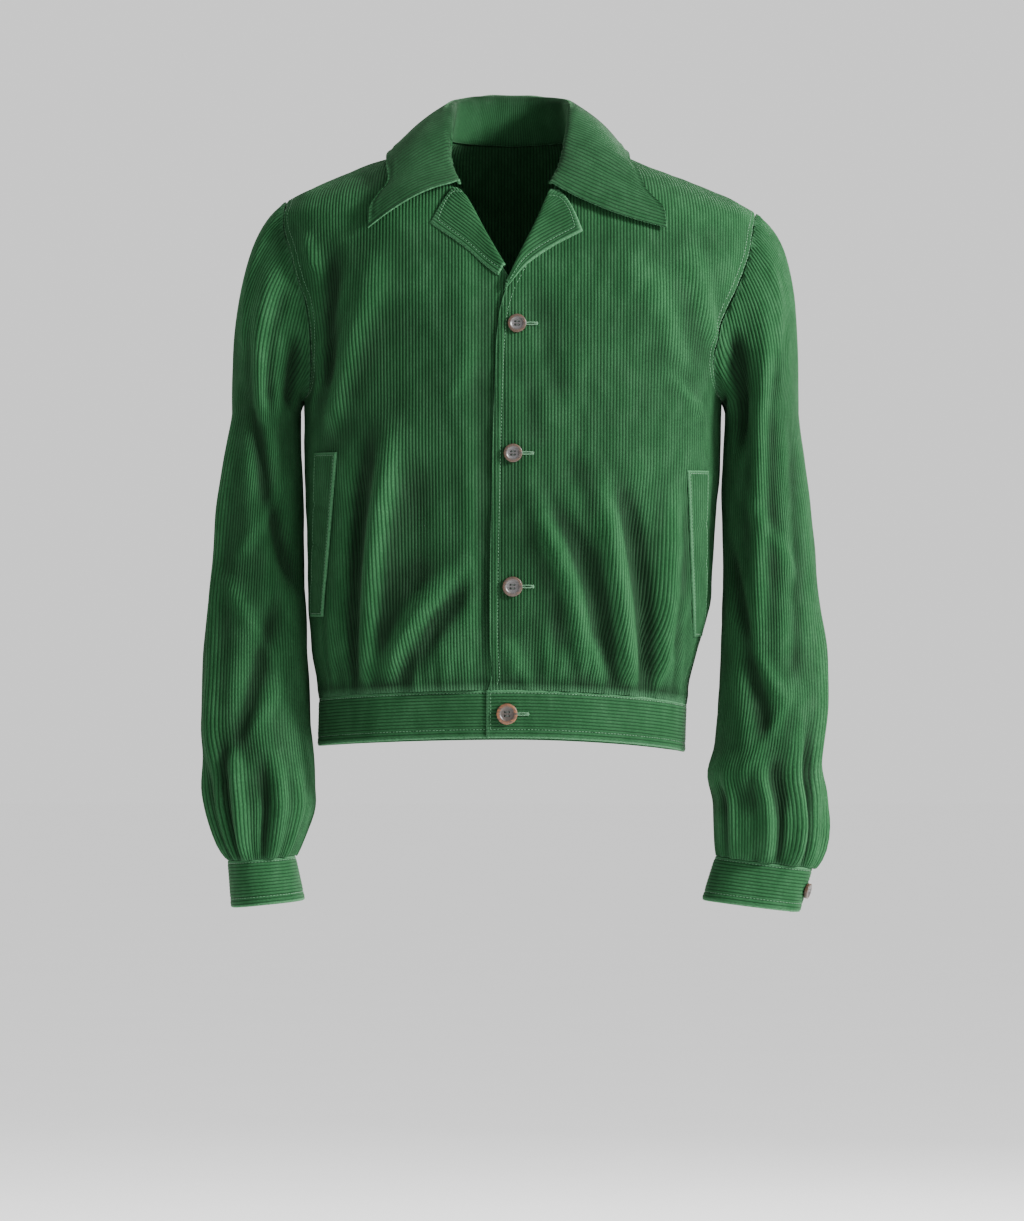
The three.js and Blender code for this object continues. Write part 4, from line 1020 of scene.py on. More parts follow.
@dataclass
class Sleeve:
    """One set-in sleeve, whose rows are level cuts of its cap and rings of its tube."""

    side: str
    cap_levels: int = 30
    length: float = 520.0
    allowance_width: float = 6.0

    def __post_init__(self) -> None:
        """Works out the armhole's ring, and how many wales go round the sleeve."""
        self.sign = SIGN[self.side]
        self.end_z = float(CUFFS[self.side].read("z", 0))
        self.ring_turns = np.linspace(0, 360, 721)
        self.ring_points = self.armhole(self.ring_turns)
        around = self.base(np.linspace(-180, 180, 181), np.full(181, CAP_SHARE))
        self.wales = 2 * round(float(lengths(around)[-1]) / WALE_PITCH / 2)
        self.girth = self.wales * WALE_PITCH

    def ring(self, turn: Array) -> Array:
        """Points of the armhole at turns round the sleeve from its outer side."""
        return along_line(self.ring_points, self.ring_turns, np.mod(turn, 360))

    def seam_frame(self, turn: Array) -> tuple[Array, Array, Array]:
        """Points on the panels' armhole edge, the panels' normals and the way off the panels."""

        def seam(at: Array) -> Pair:
            """Turns round the body and heights of the seam."""
            at = np.mod(at, 360)
            share = np.abs(1 - at / 180)
            z = lerp(UNDERARM_Z, SHOULDER_TIP[self.side], crowded(share))
            ahead = ARMHOLES[self.side, "front"].read("x", z)
            behind = ARMHOLES[self.side, "back"].read("x", z)
            place = FORM.turn_at(self.sign * np.where(at <= 180, ahead, behind), z)
            return np.where(at <= 180, place, 180 * self.sign - place), z

        step = 0.5
        place, z = seam(turn)
        before, after = FORM.point(*seam(turn - step)), FORM.point(*seam(turn + step))
        normal = FORM.normal(wrapped(place), z)
        return FORM.point(place, z), normal, self.sign * unit(np.cross(normal, after - before))

    def armhole(self, turn: Array) -> Array:
        """Works out the sleeve's own edge, just clear of the panels."""
        point, _, away = self.seam_frame(turn)
        return point + away * ARMHOLE_GAP

    def allowance(self) -> Piece:
        """The turned-in edge of the seam, which closes the armhole from inside."""
        turn = np.linspace(-180, 180, 181)
        point, normal, away = self.seam_frame(turn)
        near, far = np.full_like(turn, 0.008), np.full_like(turn, 0.03)
        sleeve_near, sleeve_far = self.normal(turn, near), self.normal(turn, far)
        deep = CLOTH + 0.5
        lines = [
            point - away * self.allowance_width - normal * deep,
            point - away * self.allowance_width * 0.3 - normal * deep,
            point - unit(normal + sleeve_near) * deep * 1.3,
            self.base(turn, near) - sleeve_near * deep,
            self.base(turn, far) - sleeve_far * deep,
        ]
        ways = [normal, normal, unit(normal + sleeve_near), sleeve_near, sleeve_far]
        across = np.linspace(0, 2 * self.allowance_width, len(lines))
        grid = ClothGrid(f"armhole_{self.side}", 0.8)
        for row in range(len(turn)):
            points = np.array([line[row] for line in lines])
            normals = np.array([way[row] for way in ways])
            grid.add(Strip(points, normals, across, 0 * across + row * 2.5), 0, len(lines) - 1)
        return grid.build(1)

    def tube(self, turn: Array, z: Array) -> Array:
        """Points of the hanging stretch, which narrows to the cuff's top ring."""
        rows = SLEEVES[self.side]
        outer, inner = rows.read("outer", z), rows.read("inner", z)
        radius = ring_radius(turn, SLEEVE_SQUARENESS)
        cosine, sine = np.cos(np.radians(turn)), np.sin(np.radians(turn))
        x = self.sign * ((outer + inner) / 2 + (outer - inner) / 2 * radius * cosine)
        y = rows.read("y", z) - rows.read("depth", z) * radius * sine
        point = np.stack(matched(x, y, z), axis=-1)
        end = cuff_point(self.side, turn, 0.0) + np.array([0, 0, SEAM_GAP])
        blend = 1 - ease(self.end_z, self.end_z + CUFF_GATHER_LENGTH, z)
        return lerp(point, end, np.asarray(blend)[..., None])

    def base(self, turn: Array, along: Array) -> Array:
        """Points of the smooth sleeve at turns and shares of its length.

        Args:
            turn: turns round the sleeve from its outer side.
            along: shares of its length from the armhole.

        Returns:
            The points.
        """
        turn, along = matched(turn, along)
        cap = np.clip(along / CAP_SHARE, 0, 1)[..., None]
        lower = np.clip((along - CAP_SHARE) / (1 - CAP_SHARE), 0, 1)
        z = lerp(SLEEVE_RING_Z, self.end_z, lower)
        end = self.tube(turn, np.full_like(turn, SLEEVE_RING_Z))
        start = self.ring(turn)
        reach = SLEEVE_FULLNESS * np.linalg.norm(start - end, axis=-1, keepdims=True)
        leaving = matched(self.sign * 0.87, -0.3 * np.sin(np.radians(turn)), -0.42)
        leaving = unit(np.stack(leaving, axis=-1)) * reach
        arriving = np.concatenate([np.zeros(reach.shape[:-1] + (2,)), -reach], axis=-1)
        square, cube = cap**2, cap**3
        over = (
            start * (2 * cube - 3 * square + 1)
            + leaving * (cube - 2 * square + cap)
            + end * (3 * square - 2 * cube)
            + arriving * (cube - square)
        )
        return np.where(along[..., None] > CAP_SHARE, self.tube(turn, z), over)

    def normal(self, turn: Array, along: Array) -> Array:
        """Outward normals of the smooth sleeve, which stay the same beside the cuff."""
        along = np.minimum(along, 0.984)
        around = self.base(turn + 0.8, along) - self.base(turn - 0.8, along)
        down = self.base(turn, along + 0.004) - self.base(turn, np.maximum(along - 0.004, 0))
        return self.sign * unit(np.cross(around, down))

    def fold_height(self, turn: Array, along: Array) -> Array:
        """Height that the folds add at turns and shares of the length."""
        height = np.zeros(np.broadcast(turn, along).shape)
        for fold in SLEEVE_FOLDS[self.side] + FINE_SLEEVE_FOLDS[self.side] + INNER_SLEEVE_FOLDS:
            share = (along - fold.along1) / (fold.along2 - fold.along1)
            centre = lerp(fold.across1, fold.across2, share)
            apart = np.mod(turn - centre + 540, 360) - 180
            height += fold.height(np.radians(apart) * SLEEVE_GIRTH_RADIUS, share)
        return height * ease(0, 0.06, along) * lerp(0.15, 1, 1 - ease(0.95, 1, along))

    def surface(self, turn: Array, along: Array, across: Array, seam: Array) -> Array:
        """Finished points with folds, swells, wales and the dip beside the armhole seam."""
        seed = 21 if self.side == "left" else 22
        length = along * self.length
        lift = self.fold_height(turn, along)
        lift = lift + ripple(seed, across, length, 0.8, 80)
        lift = lift + ripple(seed + 5, across, length, 0.3, 30)
        lift = lift + 1.6 * hump(seam, 5, 7) - 0.2 * hump(seam, 2.5)
        low = self.length - length
        lift = lift + gathers(seed, across) * np.exp(-low / 26) * ease(0, 6, low)
        lift = lift - 0.8 * hump(low, 3.0) + wale_height(across)
        return self.base(turn, along) + self.normal(turn, along) * lift[..., None]

    def cap_row(self, share: float) -> tuple[Array, Array, Array]:
        """Turns, shares of the length and widths along a level cut of the cap.

        Args:
            share: how far up the cap the cut lies, from 0 to 1.

        Returns:
            The turns, the shares of the length and the widths.
        """
        level = lerp(UNDERARM_Z, SHOULDER_TIP[self.side], float(crowded(share)))
        turn = np.linspace(-180, 180, 181) * (1 - share)
        depth = np.linspace(0, 1, 41)
        heights = self.base(turn[:, None], (depth * CAP_SHARE)[None, :])[..., 2]
        heights = np.minimum.accumulate(heights, axis=1)
        along = np.array([np.interp(-level, -line, depth) for line in heights]) * CAP_SHARE
        along[[0, -1]] = 0
        points = self.base(turn, along)
        steps = np.linalg.norm(np.diff(points, axis=0), axis=1)
        width = np.concatenate([[0], np.cumsum(steps + 1e-6)])
        width = width - width[len(width) // 2]
        return turn, along, lerp(turn / 360 * self.girth, width, float(ease(0, 0.4, share)))

    def build(self) -> Piece:
        """Builds the sleeve as a thin wall with its seam's turned-in edge."""
        plans = []
        for share in np.linspace(1, 0, self.cap_levels + 1)[:-1]:
            plans.append((*self.cap_row(float(share)), False))
        around = np.linspace(-180, 180, 181)
        rows = int((SLEEVE_RING_Z - self.end_z) / ROW_STEP) + 1
        tube = CAP_SHARE + (1 - CAP_SHARE) * (1 - (1 - np.linspace(0, 1, rows)) ** 1.15)
        under = self.cap_row(0.0)
        for blend in (0.0, 0.5):
            along = lerp(under[1], CAP_SHARE, blend)
            plans.append((around, along, around / 360 * self.girth, True))
        for along in tube:
            plans.append((around, np.full_like(around, along), around / 360 * self.girth, True))
        half = self.wales * WALE_COLUMNS // 2
        wanted = np.arange(-half, half + 1) * COLUMN_STEP
        grid = ClothGrid(f"sleeve_{self.side}", CLOTH - 0.3)
        for turn, along, width, closed in plans:
            place = np.clip(wanted, width[0], width[-1])
            at_turn = np.interp(place, width, turn)
            at_along = np.interp(place, width, along)
            seam = np.full_like(place, FAR) if closed else np.minimum(place - width[0], width[-1] - place)
            points = self.surface(at_turn, at_along, place, seam)
            strip = Strip(points, self.normal(at_turn, at_along), place, at_along * self.length)
            grid.add(strip, *own_columns(wanted, width), closed)
        made = grid.build()
        select_only(made, self.allowance())
        bpy.ops.object.join()
        return made


def cuff_point(side: str, turn: Array, share: Array, inset: Array = 0.0) -> Array:
    """Points on a cuff at turns from its outer side, a share down its height and an inset."""
    rows = CUFFS[side]
    radius = ring_radius(turn, CUFF_SQUARENESS)
    across = radius * np.cos(np.radians(turn))
    ahead = radius * np.sin(np.radians(turn))
    x = rows.read("x", share) + (rows.read("half", share) - inset) * across
    y = rows.read("y", share) - (rows.read("depth", share) - inset) * ahead
    z = rows.read("z", share) - rows.read("drop", share) / 2 * across
    return np.stack(matched(SIGN[side] * x, y, z), axis=-1)


def band_point(turn: Array, share: Array, inset: Array = 0.0) -> Array:
    """Points on the waistband at turns, a share down its height and an inset."""
    turn = wrapped(turn)
    z = waist_seam(turn) - BAND_HEIGHT * share
    turn, z, inset = matched(turn, z, inset)
    return FORM.smooth(turn, z) - FORM.normal(turn, z) * inset[..., None]


def spline(points: Array, count: int) -> Array:
    """A smooth curve through points, as count points evenly spread in the curve's own measure."""
    ends = np.concatenate([2 * points[:1] - points[1:2], points, 2 * points[-1:] - points[-2:-1]])
    at = np.linspace(0, len(points) - 1, count)
    i = np.minimum(at.astype(int), len(points) - 2)
    t = (at - i)[:, None]
    a, b, c, d = ends[i], ends[i + 1], ends[i + 2], ends[i + 3]
    return 0.5 * (
        2 * b
        + (c - a) * t
        + (2 * a - 5 * b + 4 * c - d) * t**2
        + (3 * b - a - 3 * c + d) * t**3
    )


def lengths(points: Array) -> Array:
    """Distance along a line of points from its start."""
    steps = np.linalg.norm(np.diff(points, axis=0), axis=1)
    return np.concatenate([[0], np.cumsum(steps + 1e-7)])


def grid_normals(points: Array, sign: float) -> Array:
    """Normals of a grid of points, on the side that a sign picks."""
    across = np.gradient(points, axis=1)
    down = np.gradient(points, axis=0)
    return sign * unit(np.cross(across, down))


@dataclass
class Band:
    """A double band whose ends lap: the waistband or a cuff, with wales that run round it.

    Its place gives points at turns, shares down the height and insets, its start and end are the
    turns of the over and under end, and its sign says which way the grid's normals point.
    """

    name: str
    place: Callable[..., Array]
    start: float
    end: float
    height: float
    sign: float
    rounding: float = 0.7
    top_stitch: float = 2.5
    bottom_stitch: float = 8.0
    end_stitches: tuple[float, float] = (3.0, 10.0)

    def __post_init__(self) -> None:
        """Measures the band's length."""
        turn = np.linspace(self.start, self.end, 400)
        self.reach = float(lengths(self.base(turn, np.full(400, 0.5)))[-1])

    def base(self, turn: Array, share: Array) -> Array:
        """Points of the smooth band, with its under end set in."""
        inset = BAND_LAP_DEPTH * ease(self.end - 52, self.end - 30, turn)
        return self.place(turn, share, inset)

    def surface(self, turn: Array, share: Array) -> Pair:
        """Finished points and normals at turns and shares down the height.

        Args:
            turn: turns round the band.
            share: shares down its height.

        Returns:
            The points and the normals.
        """
        around = self.base(turn + SIDE_STEP, share) - self.base(turn - SIDE_STEP, share)
        down = self.base(turn, np.minimum(share + 0.01, 1)) - self.base(turn, np.maximum(share - 0.01, 0))
        normal = self.sign * unit(np.cross(around, down))
        low = self.height * share
        along = (turn - self.start) * self.reach / (self.end - self.start)
        from_end = np.minimum(along, self.reach - along)
        lift = wale_height(low + 0.4, 0.5)
        lift = lift + ripple(len(self.name), along, low * 0.6, 0.5, 60)
        lift = lift + gathers(len(self.name), np.mod(along, 640) - 320) * 0.35 * np.exp(-low / 9)
        for seam in (self.top_stitch, self.height - self.bottom_stitch):
            pucker = 0.25 * np.sin(2 * np.pi * along / 9.7 + seam)
            lift = lift + (pucker - 0.55) * hump(low, 1.8, seam)
        for seam in self.end_stitches:
            lift = lift - 0.4 * hump(from_end, 1.5, seam)
        edge = np.minimum(np.minimum(low, self.height - low), from_end)
        lift = lift - 0.7 * hump(edge, 1.1)
        return self.base(turn, share) + normal * lift[..., None], normal

    def build(self) -> Piece:
        """Builds the band as a thin wall."""
        rows = int(self.reach / 6)
        columns = round(self.height / WALE_PITCH * WALE_COLUMNS)
        share = np.linspace(0, 1, columns + 1)
        grid = ClothGrid(self.name, DOUBLE_CLOTH, self.rounding)
        ends = np.array([0.0, 1.2, 3.0])
        inside = np.linspace(6, self.reach - 6, rows)
        places = np.concatenate([ends, inside, self.reach - ends[::-1]])
        for along in places:
            at = np.full_like(share, self.start + (self.end - self.start) * along / self.reach)
            points, normals = self.surface(at, share)
            strip = Strip(points, normals, share * self.height + 0.4, np.full_like(share, along))
            grid.add(strip, 0, columns)
        return grid.build(2)

    def path(self, along: Array, low: Array) -> Pair:
        """Points and normals at distances from the over end and below the top."""
        along, low = matched(along, low)
        turn = lerp(self.start, self.end, along / self.reach)
        return self.surface(turn, low / self.height)

    def seams(self) -> list[Pair]:
        """The stitch lines: below the top, above the bottom and across the over end."""
        bottom = self.height - self.bottom_stitch
        along = np.linspace(2, self.reach - 12, int(self.reach / 4))
        down = np.linspace(self.top_stitch, bottom, 20)
        lines = [self.path(along, low) for low in (self.top_stitch, bottom)]
        return lines + [self.path(place, down) for place in self.end_stitches]


def waistband() -> Band:
    """The waistband's form."""
    start = float(FORM.turn_at(BAND_OVER_END, WAIST_SEAM_Z))
    end = 360 + float(FORM.turn_at(BAND_UNDER_END, WAIST_SEAM_Z))
    return Band("waistband", band_point, start, end, BAND_HEIGHT, -1.0)


def cuff(side: str) -> Band:
    """A cuff's form."""
    place = partial(cuff_point, side)
    start = CUFF_BUTTON_TURN[side] - CUFF_LAP_TURN
    rows = CUFFS[side]
    height = float(rows.read("z", 0) - rows.read("z", 1))
    return Band(f"cuff_{side}", place, start, start + 360 + 2 * CUFF_LAP_TURN, height, SIGN[side])


@dataclass
class Collar:
    """The folded collar: a wall from the neckline over the roll line to the outer edge."""

    rows: int = 30
    rounding: float = 0.8
    fullness: float = 1.12
    stitch: float = 8.0
    corner_stitches: float = 45.0

    def neck_points(self, side: str, share: Array) -> Array:
        """Points on the neckline seam, moved in by the stand's thickness."""
        sign = SIGN[side]
        behind = np.minimum(share / NECK_SEAM_SHARE, 1)
        ahead = np.maximum((share - NECK_SEAM_SHARE) / (1 - NECK_SEAM_SHARE), 0)
        z = np.where(
            ahead > 0,
            lerp(NECK_POINT_Z, GORGE_Z[side], ahead),
            NECK_POINT_Z - BACK_NECK_DROP * (1 - behind),
        )
        edge = FORM.turn_at(INNER_EDGE[side].read("x", z), z)
        turn = np.where(ahead > 0, edge, sign * lerp(180, 90, behind))
        point = FORM.point(turn, z)
        inward = np.stack([-point[:, 0], NECK_CENTRE_Y - point[:, 1], 0 * z], axis=1)
        turned = ease(0.1, 0.7, ahead)[:, None]
        inward = lerp(unit(inward), np.array([-sign * 0.85, 0, 0.5]), turned)
        seat = (DOUBLE_CLOTH + NECK_SEAT + GORGE_SEAT * ahead)[:, None]
        return point + unit(inward) * seat + np.array([0, 0, NECK_SEAT])

    @staticmethod
    def clear_of_body(point: Array, lift: float) -> Array:
        """Moves points out to where thick cloth lies clear of the body."""
        x, y, z = point.T
        low = np.minimum(z, NECK_POINT_Z)
        turn = FORM.turn_at(x, low)
        turn = np.where(y > 0, np.copysign(180, turn) - turn, turn)
        normal = FORM.normal(turn, low)
        level = lift / np.maximum(np.hypot(normal[:, 0], normal[:, 1]), 0.2)
        power = BODY.read("square", low)
        width = Body.half_width(x, low) + level
        depth = np.where(y > 0, BODY.read("back", low), BODY.read("front", low)) + level
        reach = ((np.abs(x) / width) ** power + (np.abs(y) / depth) ** power) ** (1 / power)
        scale = np.where((reach < 1) & (z < NECK_POINT_Z), 1 / np.maximum(reach, 1e-3), 1.0)
        return np.stack([x * scale, y * scale, z], axis=1)

    def sections(self, side: str, share: Array) -> Array:
        """Sections from the neckline over the roll line to the outer edge, one for each share.

        Args:
            side: left or right.
            share: shares from the centre back to the front end.

        Returns:
            The sections' points.
        """
        sign = SIGN[side]
        line = ROLL_LINE[side]
        roll = np.stack([line.read(axis, share) for axis in "xyz"], axis=1) * [sign, 1, 1]
        away = unit(np.stack([roll[:, 0], roll[:, 1] - NECK_CENTRE_Y, 0 * share], axis=1))
        up = np.array([0.0, 0.0, 1.0])
        neck = self.neck_points(side, share)
        rows = COLLAR_EDGE[side]
        edge = FORM.point(sign * rows.read("turn", share), rows.read("z", share), COLLAR_LIFT)
        begin = roll + away * (ROLL_RADIUS + 1) - up * ROLL_RADIUS * 0.7
        bow = lerp(begin, edge, 0.45) + away * COLLAR_BOW + up * 5
        sag = (COLLAR_END_SAG[side] * ease(0.8, 1, share))[:, None]
        inside = roll - away * ROLL_RADIUS * 0.6 - up * ROLL_RADIUS * 0.9
        made = [neck, lerp(neck, inside, 0.5), inside, roll]
        for t in (0, 0.25, 0.5, 0.75):
            point = begin * (1 - t) ** 2 + 2 * bow * t * (1 - t) + edge * t * t
            made.append(self.clear_of_body(point - up * sag * math.sin(math.pi * t), COLLAR_LIFT))
        made.append(edge)
        return np.stack(made, axis=1)

    def grid(self) -> None:
        """Works out the collar's smooth points, from the right front end to the left one."""
        roll = self.sections("left", np.linspace(0, 1, 60))[:, 3]
        half = round(float(lengths(roll)[-1]) * self.fullness / WALE_PITCH) * WALE_COLUMNS
        self.columns = np.arange(-half, half + 1)
        right = self.sections("right", np.arange(half, 0, -1) / half)
        left = self.sections("left", np.arange(half + 1) / half)
        dense = [spline(section, 240) for section in np.concatenate([right, left])]
        low = np.linspace(0, 1, self.rows)
        low = 1 - (1 - low) ** 1.15
        picked = []
        for line in dense:
            reach = lengths(line)
            picked.append(along_line(line, reach, low * reach[-1]))
        self.points = np.array(picked).transpose(1, 0, 2)
        self.normals = grid_normals(self.points, -1)
        steps = np.linalg.norm(np.diff(self.points, axis=0), axis=2)
        down = np.concatenate([np.zeros((1, len(self.columns))), np.cumsum(steps, axis=0)])
        self.from_edge = down[-1:] - down
        along = np.linalg.norm(np.diff(self.points, axis=1), axis=2)
        place = np.concatenate([np.zeros((self.rows, 1)), np.cumsum(along, axis=1)], axis=1)
        self.from_end = np.minimum(place, place[:, -1:] - place)
        self.across = np.broadcast_to(self.columns * COLUMN_STEP, down.shape)
        edge = np.minimum(self.from_edge, self.from_end)
        lift = wale_height(self.across, 0.55) + ripple(31, self.across, down, 0.6, 70)
        pucker = 0.2 * np.sin(2 * np.pi * self.across / 9.3)
        lift = lift + (pucker - 0.5) * hump(edge, 1.8, self.stitch)
        lift = lift - 0.8 * hump(edge, 1.2) + 0.3 * hump(edge, 2.5, 4)
        self.down = down
        self.finished = self.points + self.normals * lift[..., None]

    def build(self) -> Piece:
        """Builds the collar as a double wall."""
        self.grid()
        made = ClothGrid("collar", DOUBLE_CLOTH, self.rounding)
        last = len(self.columns) - 1
        for i in range(self.rows):
            strip = Strip(self.finished[i], self.normals[i], self.across[i], self.down[i])
            made.add(strip, 0, last)
        return made.build(2)

    def edge_path(self) -> Pair:
        """The stitch line in from the outer edge, round both front corners."""
        points, normals = [], []
        inset = self.stitch
        last = len(self.columns) - 1
        start = int(np.argmin(np.abs(self.from_end[-1, : last // 2] - inset)))

        def take(column: int, wanted: float) -> None:
            """Adds the place on a column at a distance from the edge."""
            distance = self.from_edge[::-1, column]
            for store, values in ((points, self.finished), (normals, self.normals)):
                store.append(along_line(values[::-1, column], distance, wanted))

        corner = float(self.from_edge[:, start].max()) - self.corner_stitches
        for wanted in np.linspace(corner, inset, 20)[:-1]:
            take(start, wanted)
        for column in range(start, last - start + 1, 2):
            take(column, inset)
        for wanted in np.linspace(inset, corner, 20)[1:]:
            take(last - start, wanted)
        return np.array(points), np.array(normals)


@dataclass
class Lapel:
    """One lapel, hooked over the roll line and lying on its front."""

    side: str
    rows: int = 34
    rounding: float = 0.7
    stitch: float = 7.0

    def line(self, share: float) -> Array:
        """One section from the roll line's lip to the outer edge.

        Args:
            share: how far down the roll line it starts.

        Returns:
            The section's points.
        """
        side, sign = self.side, SIGN[self.side]
        opening = np.array([-sign * 0.86, 0, 0.5])
        z = lerp(GORGE_Z[side] - GORGE_GAP, BREAK_Z[side], share)
        roll = np.array([float(INNER_EDGE[side].read("x", z)), z])
        rows = LAPEL_EDGE[side]
        edge = np.array([float(rows.read("x", share)), float(rows.read("z", share))])
        middle = (roll + edge) / 2
        notch = np.array(LAPEL_NOTCH[side]) * 2 - middle
        bend = lerp(middle, notch, (1 - share) ** 5)
        lip = 1 - 0.25 * float(ease(0.6, 1, share))
        t = np.array([0.0] * len(LAPEL_LIP) + [share for share, _ in LAPEL_FALL])
        lifts = np.array([lift for _, lift in LAPEL_LIP + LAPEL_FALL])
        ways = ((1 - t) ** 2, 2 * t * (1 - t), t * t)
        x, z = sum(np.outer(place, way) for place, way in zip((roll, bend, edge), ways))
        made = FORM.point(FORM.turn_at(x, z), z, lifts + lap_inset(self.side, x))
        made[: len(LAPEL_LIP)] += np.outer([reach for reach, _ in LAPEL_LIP], opening) * lip
        return made

    def build(self) -> Piece:
        """Builds the lapel as a double wall, whose wales follow its outer edge."""
        dense = np.array([spline(self.line(s), 120) for s in np.linspace(0, 1, self.rows)])
        reach = np.array([lengths(line) for line in dense])
        width = reach - reach[:, -1:]
        count = math.ceil(-width.min() / COLUMN_STEP) + 1
        count += -count % WALE_COLUMNS
        wanted = np.arange(-count, 1) * COLUMN_STEP
        places = np.maximum(wanted, width[:, :1])
        points = np.array([along_line(*row) for row in zip(dense, width, places)])
        dense_normals = grid_normals(dense, -SIGN[self.side])
        normals = unit(np.array([along_line(*row) for row in zip(dense_normals, width, places)]))
        top = lengths(dense[:, -1])[:, None] + 0 * places
        edge = np.minimum(-places, top)
        lift = wale_height(places, 0.5) - 0.7 * hump(edge, 1.2)
        pucker = 0.2 * np.sin(2 * np.pi * top / 9.1)
        lift = lift + (pucker - 0.5) * hump(edge, 1.6, self.stitch)
        lift = lift + ripple(41, places, top, 0.3, 60)
        finished = points + normals * lift[..., None]
        self.finished, self.normals, self.places, self.top = finished, normals, places, top
        grid = ClothGrid(f"lapel_{self.side}", DOUBLE_CLOTH - 0.4, self.rounding)
        for i in range(self.rows):
            strip = Strip(finished[i], normals[i], places[i], top[i])
            grid.add(strip, *own_columns(wanted, width[i]))
        return grid.build(2)

    def edge_path(self) -> Pair:
        """The stitch line in from the gorge and the outer edge."""
        points, normals = [], []
        inset = self.stitch

        def take(row: float, place: float) -> None:
            """Adds the place between two rows at a place across them."""
            low = min(int(row), self.rows - 2)
            for store, values in ((points, self.finished), (normals, self.normals)):
                ends = [along_line(values[i], self.places[i], place) for i in (low, low + 1)]
                store.append(lerp(*ends, row - low))

        start = float(np.interp(inset, self.top[:, -1], np.arange(self.rows)))
        far = self.places[int(start) + 1, 0] + 6
        for place in np.linspace(far, -inset, 30)[:-1]:
            take(start, place)
        for row in np.linspace(start, self.rows - 2.5, 60):
            take(row, -inset)
        return np.array(points), np.array(normals)


@dataclass
class Welt:
    """One pocket welt, made from the points of its front and moved out."""

    side: str
    rounding: float = 0.6
    stitch: float = 2.6
    dents: tuple[tuple[float, float], ...] = ((0.42, 1.3), (0.66, 1.5), (0.2, 0.8))

    def __post_init__(self) -> None:
        """Measures the welt."""
        self.low, self.high = WELTS[self.side].at
        z = (self.low + self.high) / 2
        start = float(FORM.turn_at(WELTS[self.side].read("x", z), z))
        ends = FORM.smooth(np.array([start, start + SIGN[self.side] * WELT_WIDTH[self.side]]), z)
        self.width = float(np.linalg.norm(ends[1] - ends[0]))

    def surface(self, share: Array, z: Array) -> Pair:
        """Finished points and normals at shares of the width and heights."""
        start = np.abs(FORM.turn_at(WELTS[self.side].read("x", z), z))
        turn = SIGN[self.side] * (start + WELT_WIDTH[self.side] * share)
        across = share * self.width
        end = np.minimum(np.minimum(across, self.width - across), np.minimum(z - self.low, self.high - z))
        lift = CLOTH + WELT_LIFT + wale_height(across + 0.8, 0.5) - 0.8 * hump(end, 1.1)
        lift = lift - 0.5 * hump(end, 1.0, self.stitch)
        for place, depth in self.dents:
            z_at = lerp(self.low, self.high, place) + 4 * share
            lift = lift - depth * hump(z, 3.2, z_at) * ease(0, 0.4, share)
        lift = lift + 0.9 * np.exp(-((across - 1.5) ** 2) / 6)
        return FORM.point(turn, z, lift), FORM.normal(turn, z)

    def build(self) -> Piece:
        """Builds the welt as a thin wall."""
        columns = max(round(self.width / WALE_PITCH), 4) * WALE_COLUMNS
        share = np.linspace(0, 1, columns + 1)
        ends = np.array([0, 1.2, 2.6])
        inside = np.arange(self.low + 5, self.high - 5, 3.0)
        grid = ClothGrid(f"pocket_welt_{self.side}", CLOTH, self.rounding)
        for z in np.concatenate([self.low + ends, inside, self.high - ends[::-1]]):
            points, normals = self.surface(share, np.full_like(share, z))
            grid.add(Strip(points, normals, share * self.width + 0.8, np.full_like(share, z)), 0, columns)
        return grid.build(2)

    def outline(self) -> Pair:
        """The stitch line, a rectangle in from the welt's edges."""
        side = self.stitch / self.width
        top, bottom = self.high - self.stitch, self.low + self.stitch
        corners = ((side, top), (side, bottom), (1 - side, bottom), (1 - side, top), (side, top))
        lines = [
            np.linspace(start, end, 50 if start[0] == end[0] else 8)
            for start, end in zip(corners[:-1], corners[1:])
        ]
        share, z = np.concatenate(lines).T
        return self.surface(share, z)


